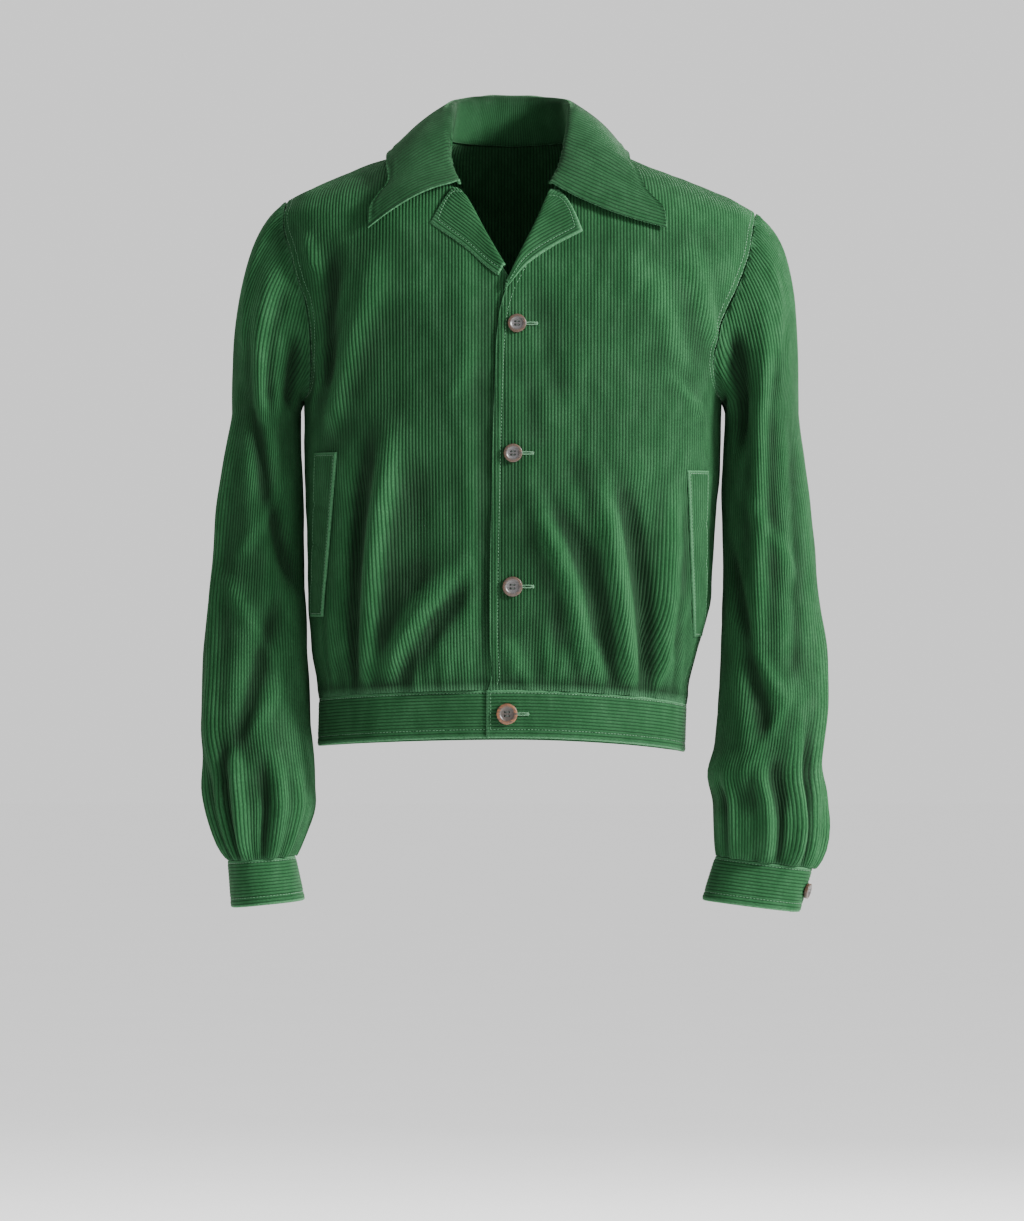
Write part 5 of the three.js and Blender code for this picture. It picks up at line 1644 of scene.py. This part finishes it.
@dataclass
class Thread:
    """Sewing thread as a run of small raised stitches, each a spindle of few faces."""

    pitch: float = 3.4
    length: float = 2.6
    width: float = 0.62
    height: float = 0.5

    def shape(self) -> tuple[Array, list[list[int]]]:
        """Models one stitch of length 1 along X and width 1, and takes its points and faces."""
        bpy.ops.mesh.primitive_uv_sphere_add(
            segments=5, ring_count=4, radius=0.5, rotation=(0, math.pi / 2, 0)
        )
        ball = bpy.context.active_object
        bpy.ops.object.transform_apply(location=True, rotation=True, scale=True)
        points = np.array([v.co[:] for v in ball.data.vertices])
        faces = [list(p.vertices) for p in ball.data.polygons]
        bpy.data.meshes.remove(ball.data)
        return points, faces

    def sew(self, name: str, paths: Sequence[Pair]) -> Piece:
        """Lays stitches along paths of points and normals.

        Args:
            name: the finished piece's name.
            paths: points and normals of each line, in millimetres.

        Returns:
            The new object.
        """
        starts, ends, normals = [], [], []
        for points, up in paths:
            reach = lengths(points)
            count = max(int(reach[-1] / self.pitch), 1)
            centre = (np.arange(count) + 0.5) * reach[-1] / count
            for store, shift in ((starts, -self.length / 2), (ends, self.length / 2)):
                store.append(along_line(points, reach, centre + shift))
            normals.append(unit(along_line(up, reach, centre)))
        return self.place(name, np.concatenate(starts), np.concatenate(ends), np.concatenate(normals))

    def place(self, name: str, starts: Array, ends: Array, normals: Array) -> Piece:
        """Makes one object of stitches from their ends and normals.

        Args:
            name: the object's name.
            starts: where the stitches start.
            ends: where they end.
            normals: the cloth's outward normals.

        Returns:
            The new object.
        """
        shape, faces = self.shape()
        way = ends - starts
        side = unit(np.cross(normals, way))
        up = unit(np.cross(way, side))
        middle = (starts + ends) / 2 + up * self.height * 0.25
        points = (
            middle[:, None]
            + shape[None, :, :1] * way[:, None]
            + shape[None, :, 1:2] * side[:, None] * self.width
            + shape[None, :, 2:3] * up[:, None] * self.height
        )
        count = len(shape)
        rings = [[i + n * count for i in ring] for n in range(len(starts)) for ring in faces]
        mesh = bpy.data.meshes.new(name)
        mesh.from_pydata((points.reshape(-1, 3) * MM).tolist(), [], rings)
        made = bpy.data.objects.new(name, mesh)
        bpy.context.scene.collection.objects.link(made)
        smooth(made, 80)
        return made


# Start, end and normal of one stitch.
Stitch = tuple[Array, Array, Array]


def buttonhole(centre: Array, across: Array, normal: Array, size: float) -> list[Stitch]:
    """Starts, ends and normals of the stitches round one keyhole slot.

    Args:
        centre: the slot's middle.
        across: the direction along the slot.
        normal: the cloth's outward normal.
        size: the slot's length.

    Returns:
        One start, end and normal for each stitch.
    """
    across = unit(across - normal * float(across @ normal))
    up = np.cross(normal, across)
    lift = normal * 0.35
    rows = []
    for angle in np.linspace(0, 2 * math.pi, 44, endpoint=False):
        swell = 1.5 if math.cos(angle) > 0.85 else 1.0
        inner = centre + across * (size / 2 - 1) * math.cos(angle) + up * 0.35 * swell * math.sin(angle)
        out = unit(across * math.cos(angle) * 0.5 + up * math.sin(angle) + across * 1e-6)
        rows.append((inner + lift, inner + out * 1.7 * swell + lift, normal))
    return rows


@dataclass
class ButtonMaker:
    """Four-hole horn buttons with a turned rim, a dished face and the thread that holds them."""

    thickness: float = 3.2
    hole_radius: float = 1.1
    hole_ring: float = 2.4 / 18.5
    bevel: float = 0.42
    face_steps: tuple[tuple[float, float], ...] = (
        (0.075, 0.25), (0.08, 0.0), (0.05, -0.7), (0.14, -0.45)
    )

    def disc(self, name: str, size: float) -> Piece:
        """Models a button that lies on the origin and faces up.

        Args:
            name: the object's name.
            size: the diameter in millimetres.

        Returns:
            The new object.
        """
        radius = size / 2 * MM
        bpy.ops.mesh.primitive_cylinder_add(
            vertices=56, radius=radius, depth=self.thickness * MM, location=(0, 0, self.thickness / 2 * MM)
        )
        made = bpy.context.active_object
        made.name = name
        bpy.ops.object.transform_apply(location=True, rotation=True, scale=True)
        for inset, drop in self.face_steps:
            self.select_top(made)
            bpy.ops.mesh.inset(thickness=inset * size * MM)
            bpy.ops.transform.translate(value=(0, 0, drop * MM))
            bpy.ops.object.mode_set(mode="OBJECT")
        bevel = made.modifiers.new("rounded", "BEVEL")
        bevel.width = self.bevel * MM
        bevel.segments = 3
        bevel.limit_method = "ANGLE"
        bevel.angle_limit = math.radians(22)
        bpy.ops.object.modifier_apply(modifier="rounded")
        drill = self.drill(size)
        cut = made.modifiers.new("holes", "BOOLEAN")
        cut.operation = "DIFFERENCE"
        cut.object = drill
        select_only(made)
        bpy.ops.object.modifier_apply(modifier="holes")
        bpy.data.objects.remove(drill)
        smooth(made, 35)
        return made

    @staticmethod
    def select_top(made: Piece) -> None:
        """Selects the highest upward face in the middle of a button."""
        select_only(made)
        bpy.ops.object.mode_set(mode="EDIT")
        bpy.ops.mesh.select_mode(type="FACE")
        bpy.ops.mesh.select_all(action="DESELECT")
        bpy.ops.object.mode_set(mode="OBJECT")
        faces = [p for p in made.data.polygons if p.normal.z > 0.9 and p.center.xy.length < 1e-4]
        max(faces, key=lambda p: p.center.z).select = True
        bpy.ops.object.mode_set(mode="EDIT")

    def drill(self, size: float) -> Piece:
        """Four pins where the button's holes go."""
        pins = []
        ring = self.hole_ring * size * MM
        for quarter in range(4):
            angle = math.pi / 4 + math.pi / 2 * quarter
            bpy.ops.mesh.primitive_cylinder_add(
                vertices=16, radius=self.hole_radius * MM, depth=12 * MM,
                location=(ring * math.cos(angle), ring * math.sin(angle), 0),
            )
            pins.append(bpy.context.active_object)
        select_only(*pins)
        bpy.ops.object.join()
        bpy.ops.object.transform_apply(location=True, rotation=True, scale=True)
        return bpy.context.active_object

    def place(self, made: Piece, point: Array, normal: Array, up: Array) -> None:
        """Turns a button to face along a normal and seats it on a point, in its mesh."""
        face = Vector(normal).normalized()
        right = Vector(up).cross(face).normalized()
        above = face.cross(right)
        matrix = Matrix((right, above, face)).transposed().to_4x4()
        matrix.translation = Vector((point + normal * BUTTON_LIFT) * MM)
        made.data.transform(matrix)
        made.data.update()

    def thread_rows(self, point: Array, normal: Array, up: Array, size: float) -> list[Stitch]:
        """Stitches that cross the button between its holes, in two bars of two strands."""
        right = unit(np.cross(up, normal))
        above = unit(np.cross(normal, right))
        ring = self.hole_ring * size * math.cos(math.pi / 4)
        face = point + normal * (BUTTON_LIFT + self.thickness - 0.75)
        rows = []
        for bar in (-1, 1):
            for strand in (-0.42, 0.42):
                middle = face + above * (bar * ring + strand)
                rows.append((middle - right * (ring + 0.7), middle + right * (ring + 0.7), normal))
        return rows


@dataclass(frozen=True)
class NodeKit:
    """Adds and links shader nodes in one tree."""

    tree: bpy.types.NodeTree

    def add(self, kind: str, settings: dict | None = None, **sockets: object) -> bpy.types.Node:
        """Adds a node, sets its properties, and sets or links its named inputs."""
        node = self.tree.nodes.new(kind)
        for key, value in (settings or {}).items():
            setattr(node, key, value)
        for key, value in sockets.items():
            name = key.replace("_", " ")
            socket = node.inputs[int(key[1:])] if key[0] == "i" and key[1:].isdigit() else node.inputs[name]
            self.feed(socket, value)
        return node

    def feed(self, socket: Socket, value: object) -> None:
        """Links a socket to another one, or sets its value."""
        if isinstance(value, Socket):
            self.tree.links.new(value, socket)
        else:
            socket.default_value = value

    def math(self, operation: str, *values: object) -> Socket:
        """Output of a math node."""
        node = self.add("ShaderNodeMath", {"operation": operation})
        for socket, value in zip(node.inputs, values):
            self.feed(socket, value)
        return node.outputs[0]

    def mix(self, share: object, one: object, two: object) -> Socket:
        """Output of a colour mix."""
        node = self.add("ShaderNodeMix", {"data_type": "RGBA"})
        self.feed(node.inputs[0], share)
        self.feed(node.inputs[6], one)
        self.feed(node.inputs[7], two)
        return node.outputs[2]

    def noise(self, vector: object, scale: float, detail: float = 3.0) -> Socket:
        """Value of a noise texture."""
        node = self.add("ShaderNodeTexNoise", Vector=vector, Scale=scale, Detail=detail)
        return node.outputs["Fac"]

    def scaled(self, vector: object, scale: tuple[float, float, float]) -> Socket:
        """A vector multiplied by a scale for each axis."""
        return self.add("ShaderNodeVectorMath", {"operation": "MULTIPLY"}, i0=vector, i1=scale).outputs[0]

    def place(self) -> Socket:
        """The Object coordinates."""
        return self.add("ShaderNodeTexCoord").outputs["Object"]

    def bump(self, height: object, strength: float, distance: float) -> Socket:
        """A bumped normal."""
        return self.add("ShaderNodeBump", Strength=strength, Distance=distance, Height=height).outputs[0]

    def level(self, value: object, low: float, high: float, start: float, end: float) -> Socket:
        """A value mapped from one range to another and held inside it."""
        node = self.add("ShaderNodeMapRange", Value=value)
        for key, number in zip(("From Min", "From Max", "To Min", "To Max"), (low, high, start, end)):
            node.inputs[key].default_value = number
        return node.outputs[0]


def new_material(name: str) -> tuple[bpy.types.Material, NodeKit, bpy.types.Node]:
    """A new material, with its kit and its Principled BSDF."""
    made = bpy.data.materials.new(name)
    made.use_nodes = True
    return made, NodeKit(made.node_tree), made.node_tree.nodes["Principled BSDF"]


def shader_group(
    name: str, inputs: dict[str, str], outputs: dict[str, str]
) -> tuple[NodeKit, bpy.types.Node, bpy.types.Node]:
    """A new shader node group with named sockets.

    Args:
        name: the group's name.
        inputs: socket type by name.
        outputs: socket type by name.
    """
    tree = bpy.data.node_groups.new(name, "ShaderNodeTree")
    for way, sockets in (("INPUT", inputs), ("OUTPUT", outputs)):
        for label, kind in sockets.items():
            tree.interface.new_socket(name=label, in_out=way, socket_type=f"NodeSocket{kind}")
    return NodeKit(tree), tree.nodes.new("NodeGroupInput"), tree.nodes.new("NodeGroupOutput")


class Effects:
    """The shader effects that several finishes share, built once."""

    def __init__(self) -> None:
        """Builds the groups."""
        self.wales = self.build_wales()
        self.nap = self.build_nap()

    def build_wales(self) -> bpy.types.NodeTree:
        """Wales and fibres from the cloth's own map, whose unit is 100 mm."""
        kit, start, end = shader_group(
            "cord_wales",
            {"Map": "Vector", "Pitch": "Float"},
            {"Ridge": "Float", "Fibre": "Float", "Height": "Float"},
        )
        parts = kit.add("ShaderNodeSeparateXYZ", Vector=start.outputs["Map"])
        across = kit.math("MULTIPLY", parts.outputs["X"], 100.0)
        wobble = kit.level(kit.noise(start.outputs["Map"], 9.0, 2.0), 0.3, 0.7, -0.16, 0.16)
        place = kit.math("DIVIDE", kit.math("ADD", across, wobble), start.outputs["Pitch"])
        wave = kit.math("ABSOLUTE", kit.math("SINE", kit.math("MULTIPLY", place, math.pi)))
        ridge = kit.math("POWER", wave, 0.75)
        fibre = kit.noise(kit.scaled(start.outputs["Map"], (150.0, 46.0, 1.0)), 1.0)
        raised = kit.math("ADD", kit.math("MULTIPLY", ridge, 0.75), kit.math("MULTIPLY", fibre, 0.35))
        for label, value in (("Ridge", ridge), ("Fibre", fibre), ("Height", raised)):
            kit.feed(end.inputs[label], value)
        return kit.tree

    def build_nap(self) -> bpy.types.NodeTree:
        """Uneven shade of the brushed pile over the whole piece."""
        kit, start, end = shader_group(
            "nap_shade", {"Position": "Vector"}, {"Shade": "Float", "Patch": "Float"}
        )
        stretched = kit.scaled(start.outputs["Position"], (1.0, 1.0, 0.45))
        broad = kit.noise(stretched, 14.0)
        small = kit.noise(stretched, 90.0, 4.0)
        total = kit.math("ADD", kit.math("MULTIPLY", broad, 0.6), kit.math("MULTIPLY", small, 0.4))
        kit.feed(end.inputs["Shade"], kit.level(total, 0.35, 0.65, 0.0, 1.0))
        kit.feed(end.inputs["Patch"], kit.level(small, 0.45, 0.75, 0.0, 1.0))
        return kit.tree


Colour = tuple[float, float, float, float]


@dataclass(frozen=True)
class Corduroy:
    """Corduroy pile: its colours by depth (the valley colour is painted shade between the wales), its sheen
    and how strong its wales are.
    """

    name: str
    ridge: Colour = (0.0046, 0.0275, 0.0085, 1.0)
    worn: Colour = (0.0155, 0.062, 0.0235, 1.0)
    # Painted shade: the dark colour of the grooves between the wales.
    valley: Colour = (0.0016, 0.0115, 0.0033, 1.0)
    rubbed: Colour = (0.042, 0.125, 0.058, 1.0)
    bump: float = 0.45

    def make(self, effects: Effects) -> bpy.types.Material:
        """Builds the material.

        Args:
            effects: the shared shader groups.

        Returns:
            The material.
        """
        made, kit, shader = new_material(self.name)
        cloth = kit.add("ShaderNodeUVMap", {"uv_map": "cloth"}).outputs[0]
        wales = kit.add("ShaderNodeGroup", {"node_tree": effects.wales}, Map=cloth, Pitch=WALE_PITCH)
        nap = kit.add("ShaderNodeGroup", {"node_tree": effects.nap}, Position=kit.place())
        lit = kit.mix(kit.math("MULTIPLY", nap.outputs["Shade"], 0.55), self.ridge, self.worn)
        # Painted shade: this mask gives the grooves between the wales the dark valley colour.
        depth = kit.level(wales.outputs["Ridge"], 0.15, 0.85, 0.0, 1.0)
        fibre = kit.level(wales.outputs["Fibre"], 0.35, 0.7, 0.72, 1.18)
        base = kit.mix(depth, self.valley, lit)
        relief = kit.add("ShaderNodeAttribute", {"attribute_name": "relief"}).outputs["Fac"]
        wear = kit.add("ShaderNodeAttribute", {"attribute_name": "wear"}).outputs["Fac"]
        # Painted shade and wear: darker in fold troughs as painted shade, lighter on fold crests, partly
        # painted light and partly pile worn on the crests.
        folded = kit.level(relief, -1.0, 1.0, 0.5, 1.5)
        fold_shaded_colour = kit.add("ShaderNodeHueSaturation", Color=base, Value=kit.math("MULTIPLY", fibre, folded))
        rubbed = kit.math("MULTIPLY", wear, kit.level(wales.outputs["Fibre"], 0.3, 0.6, 0.3, 0.9))
        kit.feed(shader.inputs["Base Color"], kit.mix(rubbed, fold_shaded_colour.outputs[0], self.rubbed))
        kit.feed(shader.inputs["Roughness"], kit.level(nap.outputs["Patch"], 0.0, 1.0, 0.92, 0.78))
        shader.inputs["Specular IOR Level"].default_value = 0.1
        shader.inputs["Sheen Weight"].default_value = 0.09
        shader.inputs["Sheen Roughness"].default_value = 0.38
        shader.inputs["Sheen Tint"].default_value = (0.35, 0.85, 0.42, 1.0)
        kit.feed(shader.inputs["Normal"], kit.bump(wales.outputs["Height"], self.bump, 0.0009))
        return made


@dataclass(frozen=True)
class Horn:
    """Polished horn: a streaked rim round a paler, cloudy middle."""

    name: str
    rim: Colour
    middle: Colour
    streak: Colour
    radius: float

    def make(self, centre: Array) -> bpy.types.Material:
        """Builds the material for a button at a place, in millimetres.

        Args:
            centre: the middle of the button's face, in millimetres.

        Returns:
            The material.
        """
        made, kit, shader = new_material(self.name)
        centre_m = tuple(centre * MM)
        away = kit.add("ShaderNodeVectorMath", {"operation": "SUBTRACT"}, i0=kit.place(), i1=centre_m)
        reach = kit.add("ShaderNodeVectorMath", {"operation": "LENGTH"}, i0=away.outputs[0])
        share = kit.math("DIVIDE", reach.outputs["Value"], self.radius * MM)
        cloud = kit.noise(away.outputs[0], 260.0, 4.0)
        wavy = kit.math("ADD", share, kit.level(cloud, 0.3, 0.7, -0.12, 0.12))
        rim = kit.level(wavy, 0.62, 0.86, 0.0, 1.0)
        stretched = kit.scaled(away.outputs[0], (1.0, 1.0, 4.0))
        streaks = kit.level(kit.noise(stretched, 150.0, 5.0), 0.46, 0.66, 0.0, 1.0)
        base = kit.mix(rim, self.middle, self.rim)
        kit.feed(shader.inputs["Base Color"], kit.mix(streaks, base, self.streak))
        kit.feed(shader.inputs["Roughness"], kit.level(cloud, 0.3, 0.7, 0.34, 0.52))
        shader.inputs["Coat Weight"].default_value = 0.08
        shader.inputs["Coat Roughness"].default_value = 0.15
        kit.feed(shader.inputs["Normal"], kit.bump(cloud, 0.2, 0.0002))
        return made


# Rim, middle and streak colours of the plain buttons and of the redder one on the waistband.
FRONT_HORN = ((0.036, 0.015, 0.005, 1.0), (0.042, 0.04, 0.041, 1.0), (0.012, 0.008, 0.006, 1.0))
WAIST_HORN = ((0.1, 0.032, 0.007, 1.0), (0.022, 0.016, 0.012, 1.0), (0.009, 0.006, 0.004, 1.0))


@dataclass(frozen=True)
class ThreadFinish:
    """Twisted sewing thread."""

    name: str
    colour: Colour

    def make(self) -> bpy.types.Material:
        """Builds the material."""
        made, kit, shader = new_material(self.name)
        twist = kit.noise(kit.place(), 2200.0, 2.0)
        dark = tuple(c * 0.45 for c in self.colour[:3]) + (1.0,)
        kit.feed(shader.inputs["Base Color"], kit.mix(twist, dark, self.colour))
        kit.feed(shader.inputs["Roughness"], kit.level(twist, 0.3, 0.7, 0.5, 0.75))
        shader.inputs["Sheen Weight"].default_value = 0.2
        kit.feed(shader.inputs["Normal"], kit.bump(twist, 0.4, 0.0002))
        return made


class Slot(Enum):
    """The record's material slots."""

    CORDUROY = "corduroy"
    TRIM = "corduroy_trim"
    HORN = "horn"


# Each cloth piece: its slot, its flat cut's width and length, and that cut's area where it has curves.
CUTS = {
    "front_left": (Slot.CORDUROY, (0.34, 0.58), 0.155),
    "back": (Slot.CORDUROY, (0.66, 0.58), 0.33),
    "sleeve_left": (Slot.CORDUROY, (0.44, 0.62), 0.24),
    "collar": (Slot.CORDUROY, (0.50, 0.13), 0.058),
    "lapel_left": (Slot.CORDUROY, (0.075, 0.13), 0.0042),
    "lapel_right": (Slot.CORDUROY, (0.075, 0.12), 0.004),
    "waistband": (Slot.TRIM, (1.13, 0.05), None),
    "cuff_left": (Slot.TRIM, (0.30, 0.046), None),
    "pocket_welt_left": (Slot.TRIM, (0.04, 0.17), None),
}
for twin in ("front", "sleeve", "cuff", "pocket_welt"):
    CUTS[f"{twin}_right"] = CUTS[f"{twin}_left"]


class Dresser:
    """Gives finished pieces their material and body, and hides the nodes that they stand for."""

    def __init__(self) -> None:
        """Builds the shared effects and the cloth and thread materials."""
        effects = Effects()
        self.cloth = Corduroy("green_corduroy").make(effects)
        self.trim = Corduroy("green_corduroy_bands", bump=0.5).make(effects)
        self.thread = ThreadFinish("green_thread", (0.05, 0.17, 0.075, 1.0)).make()
        self.dark_thread = ThreadFinish("dark_thread", (0.02, 0.03, 0.022, 1.0)).make()

    def finish(self, made: Piece, material: bpy.types.Material, slot: Slot, *nodes: str) -> Piece:
        """Dresses one piece.

        Args:
            made: the piece.
            material: what it is made of.
            slot: not used.
            nodes: the CAD nodes that it replaces.

        Returns:
            The piece.
        """
        made.data.materials.clear()
        made.data.materials.append(material)
        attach(made, "root")
        if nodes:
            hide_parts(*nodes)
        LOG.info("%s: %d faces", made.name, len(made.data.polygons))
        return made

    def sheet(self, made: Piece, rests_on: Sequence[str], pieces: Sequence[object]) -> None:
        """Dresses a cloth piece that stands for the node of its own name."""
        node = made.name.removesuffix(CLOTH_SUFFIX)
        slot, flat, area = CUTS[node]
        material = self.cloth if slot is Slot.CORDUROY else self.trim
        self.finish(made, material, slot, node)


class Jacket:
    """The whole jacket: cloth, sewing and buttons."""

    def __init__(self, dresser: Dresser) -> None:
        """Works out the forms of all sub-assemblies.

        Args:
            dresser: what dresses the finished pieces.
        """
        self.dresser = dresser
        self.panels = Panels()
        self.bands = (waistband(), cuff("left"), cuff("right"))
        self.collar = Collar()
        self.lapels = {side: Lapel(side) for side in SIGN}
        self.welts = {side: Welt(side) for side in SIGN}
        self.thread = Thread()
        self.buttons = ButtonMaker()

    def stitched(self, piece: Piece, paths: Sequence[Pair]) -> list[Piece]:
        """Sews a piece along its paths, and gives the stitching as a piece on it."""
        node = piece.name.removesuffix(CLOTH_SUFFIX)
        made = self.thread.sew(f"stitching_{node}", paths)
        return [self.dresser.finish(made, self.dresser.thread, CUTS[node][0])]

    def build(self) -> None:
        """Builds and dresses every piece."""
        for side in ("left", "right", "back"):
            piece = self.panels.build(side)
            sewing = self.stitched(piece, self.panels.seams(side))
            self.dresser.sheet(piece, ["collar", "waistband"], sewing)
        for side in SIGN:
            sleeve = Sleeve(side).build()
            self.dresser.sheet(sleeve, [f"front_{side}", "back"], [])
        for band in self.bands:
            piece = band.build()
            self.dresser.sheet(piece, [], self.stitched(piece, band.seams()))
        piece = self.collar.build()
        self.dresser.sheet(piece, ["back"], self.stitched(piece, [self.collar.edge_path()]))
        for side, lapel in self.lapels.items():
            piece = lapel.build()
            self.dresser.sheet(piece, [f"front_{side}"], self.stitched(piece, [lapel.edge_path()]))
        for side, welt in self.welts.items():
            piece = welt.build()
            self.dresser.sheet(piece, [f"front_{side}"], self.stitched(piece, [welt.outline()]))
        self.build_buttons()

    def build_buttons(self) -> None:
        """Builds the buttons, their thread and the buttonholes."""
        across, up = np.array([1.0, 0.0, 0.0]), np.array([0.0, 0.0, 1.0])
        places = {}
        for name, (x, z, size) in FRONT_BUTTONS.items():
            turn = FORM.turn_at(x, z)
            places[name] = (FORM.point(turn, np.array(z)), FORM.normal(turn, np.array(z)), size)
        x, z, size = BAND_BUTTON
        turn = FORM.turn_at(x, WAIST_SEAM_Z)
        places["button_waistband"] = (band_point(turn, 0.5), FORM.normal(turn, np.array(z)), size)
        for side in SIGN:
            at = CUFF_BUTTON_TURN[side]
            point = cuff_point(side, np.array(at), 0.5)
            around = cuff_point(side, np.array(at + 1), 0.5) - cuff_point(side, np.array(at - 1), 0.5)
            down = cuff_point(side, np.array(at), 1.0) - cuff_point(side, np.array(at), 0.0)
            normal = unit(np.cross(around, down)) * SIGN[side]
            places[f"button_cuff_{side}"] = (point, normal, CUFF_BUTTON_SIZE)
        threads, holes = [], {"front_left": [], "waistband": []}
        for name, (point, normal, size) in places.items():
            made = self.buttons.disc(name.replace("button", "horn"), size)
            self.buttons.place(made, point, normal, up)
            finish = WAIST_HORN if name == "button_waistband" else FRONT_HORN
            look = Horn(f"horn_{name}", *finish, radius=size / 2).make(point + normal * 2.2)
            self.dresser.finish(made, look, Slot.HORN, name)
            threads += self.buttons.thread_rows(point, normal, up, size)
            if "cuff" in name:
                continue
            host = "waistband" if "waist" in name else "front_left"
            middle = point + across * (size / 2 + 4.5) + normal * 0.5
            holes[host] += buttonhole(middle, across, normal, 12.0)
        self.rows("button_thread", threads, self.dresser.dark_thread, Slot.HORN)
        for host, rows in holes.items():
            self.rows(f"buttonholes_{host}", rows, self.dresser.thread, CUTS[host][0])

    def rows(self, name: str, rows: Sequence[Stitch], material: bpy.types.Material, slot: Slot) -> None:
        """Makes and dresses stitches from starts, ends and normals."""
        starts, ends, normals = (np.array(column) for column in zip(*rows))
        self.dresser.finish(self.thread.place(name, starts, ends, normals), material, slot)


@dataclass
class Studio:
    """Pale floor, soft lights and the camera at the photo's angle."""

    centre: tuple[float, float, float] = (0.001, -0.08, -0.4605)
    height: float = 1.221
    distance: float = 9.0
    lights: tuple[tuple[str, tuple[float, float, float], float, float], ...] = (
        ("key", (3.1, -1.7, 1.1), 0.8, 560.0),
        ("front", (2.4, -3.4, 1.4), 1.0, 40.0),
        ("top", (0.6, 0.6, 2.4), 1.2, 30.0),
        ("rear", (1.6, 3.2, 1.4), 1.2, 120.0),
    )
    world_strength: float = 1.05
    floor_size: float = 60.0
    floor_z: float = -1.3

    def build(self) -> None:
        """Builds the stage, lights, world and camera."""
        self.stage()
        for name, place, size, power in self.lights:
            self.light(name, place, size, power)
        world = bpy.data.worlds.new("studio")
        world.use_nodes = True
        back = world.node_tree.nodes["Background"]
        back.inputs["Color"].default_value = (1.0, 1.0, 1.0, 1.0)
        back.inputs["Strength"].default_value = self.world_strength
        bpy.context.scene.world = world
        self.camera()

    def stage(self) -> None:
        """A wide pale floor."""
        made, kit, shader = new_material("pale_stage")
        tone = kit.noise(kit.place(), 3.0, 2.0)
        pale, paler = (0.965, 0.965, 0.965, 1.0), (0.99, 0.99, 0.99, 1.0)
        kit.feed(shader.inputs["Base Color"], kit.mix(tone, pale, paler))
        kit.feed(shader.inputs["Roughness"], kit.level(tone, 0.3, 0.7, 0.85, 0.95))
        bpy.ops.mesh.primitive_plane_add(size=self.floor_size, location=(0, 0, self.floor_z))
        floor = bpy.context.active_object
        floor.name = "floor"
        floor.data.materials.append(made)

    def light(self, name: str, place: tuple[float, float, float], size: float, power: float) -> None:
        """One soft square light that faces the jacket."""
        bpy.ops.object.light_add(type="AREA", location=place)
        lamp = bpy.context.active_object
        lamp.name = name
        lamp.data.energy = power
        lamp.data.size = size
        aim = Vector(self.centre) - Vector(place)
        lamp.rotation_euler = aim.to_track_quat("-Z", "Y").to_euler()

    def camera(self) -> None:
        """A long lens level with the photo's middle."""
        data = bpy.data.cameras.new("camera")
        data.sensor_fit = "VERTICAL"
        data.sensor_height = 24.0
        data.lens = data.sensor_height * self.distance / self.height
        camera = bpy.data.objects.new("camera", data)
        x, y, z = self.centre
        camera.location = (x, y - self.distance, z)
        camera.rotation_euler = (math.pi / 2, 0, 0)
        bpy.context.scene.collection.objects.link(camera)
        bpy.context.scene.camera = camera


def main() -> None:
    """Builds the jacket and its studio."""
    logging.basicConfig(level=logging.INFO, format="%(name)s: %(message)s")
    jacket = Jacket(Dresser())
    jacket.build()
    Studio().build()


if __name__ == "__main__":
    main()
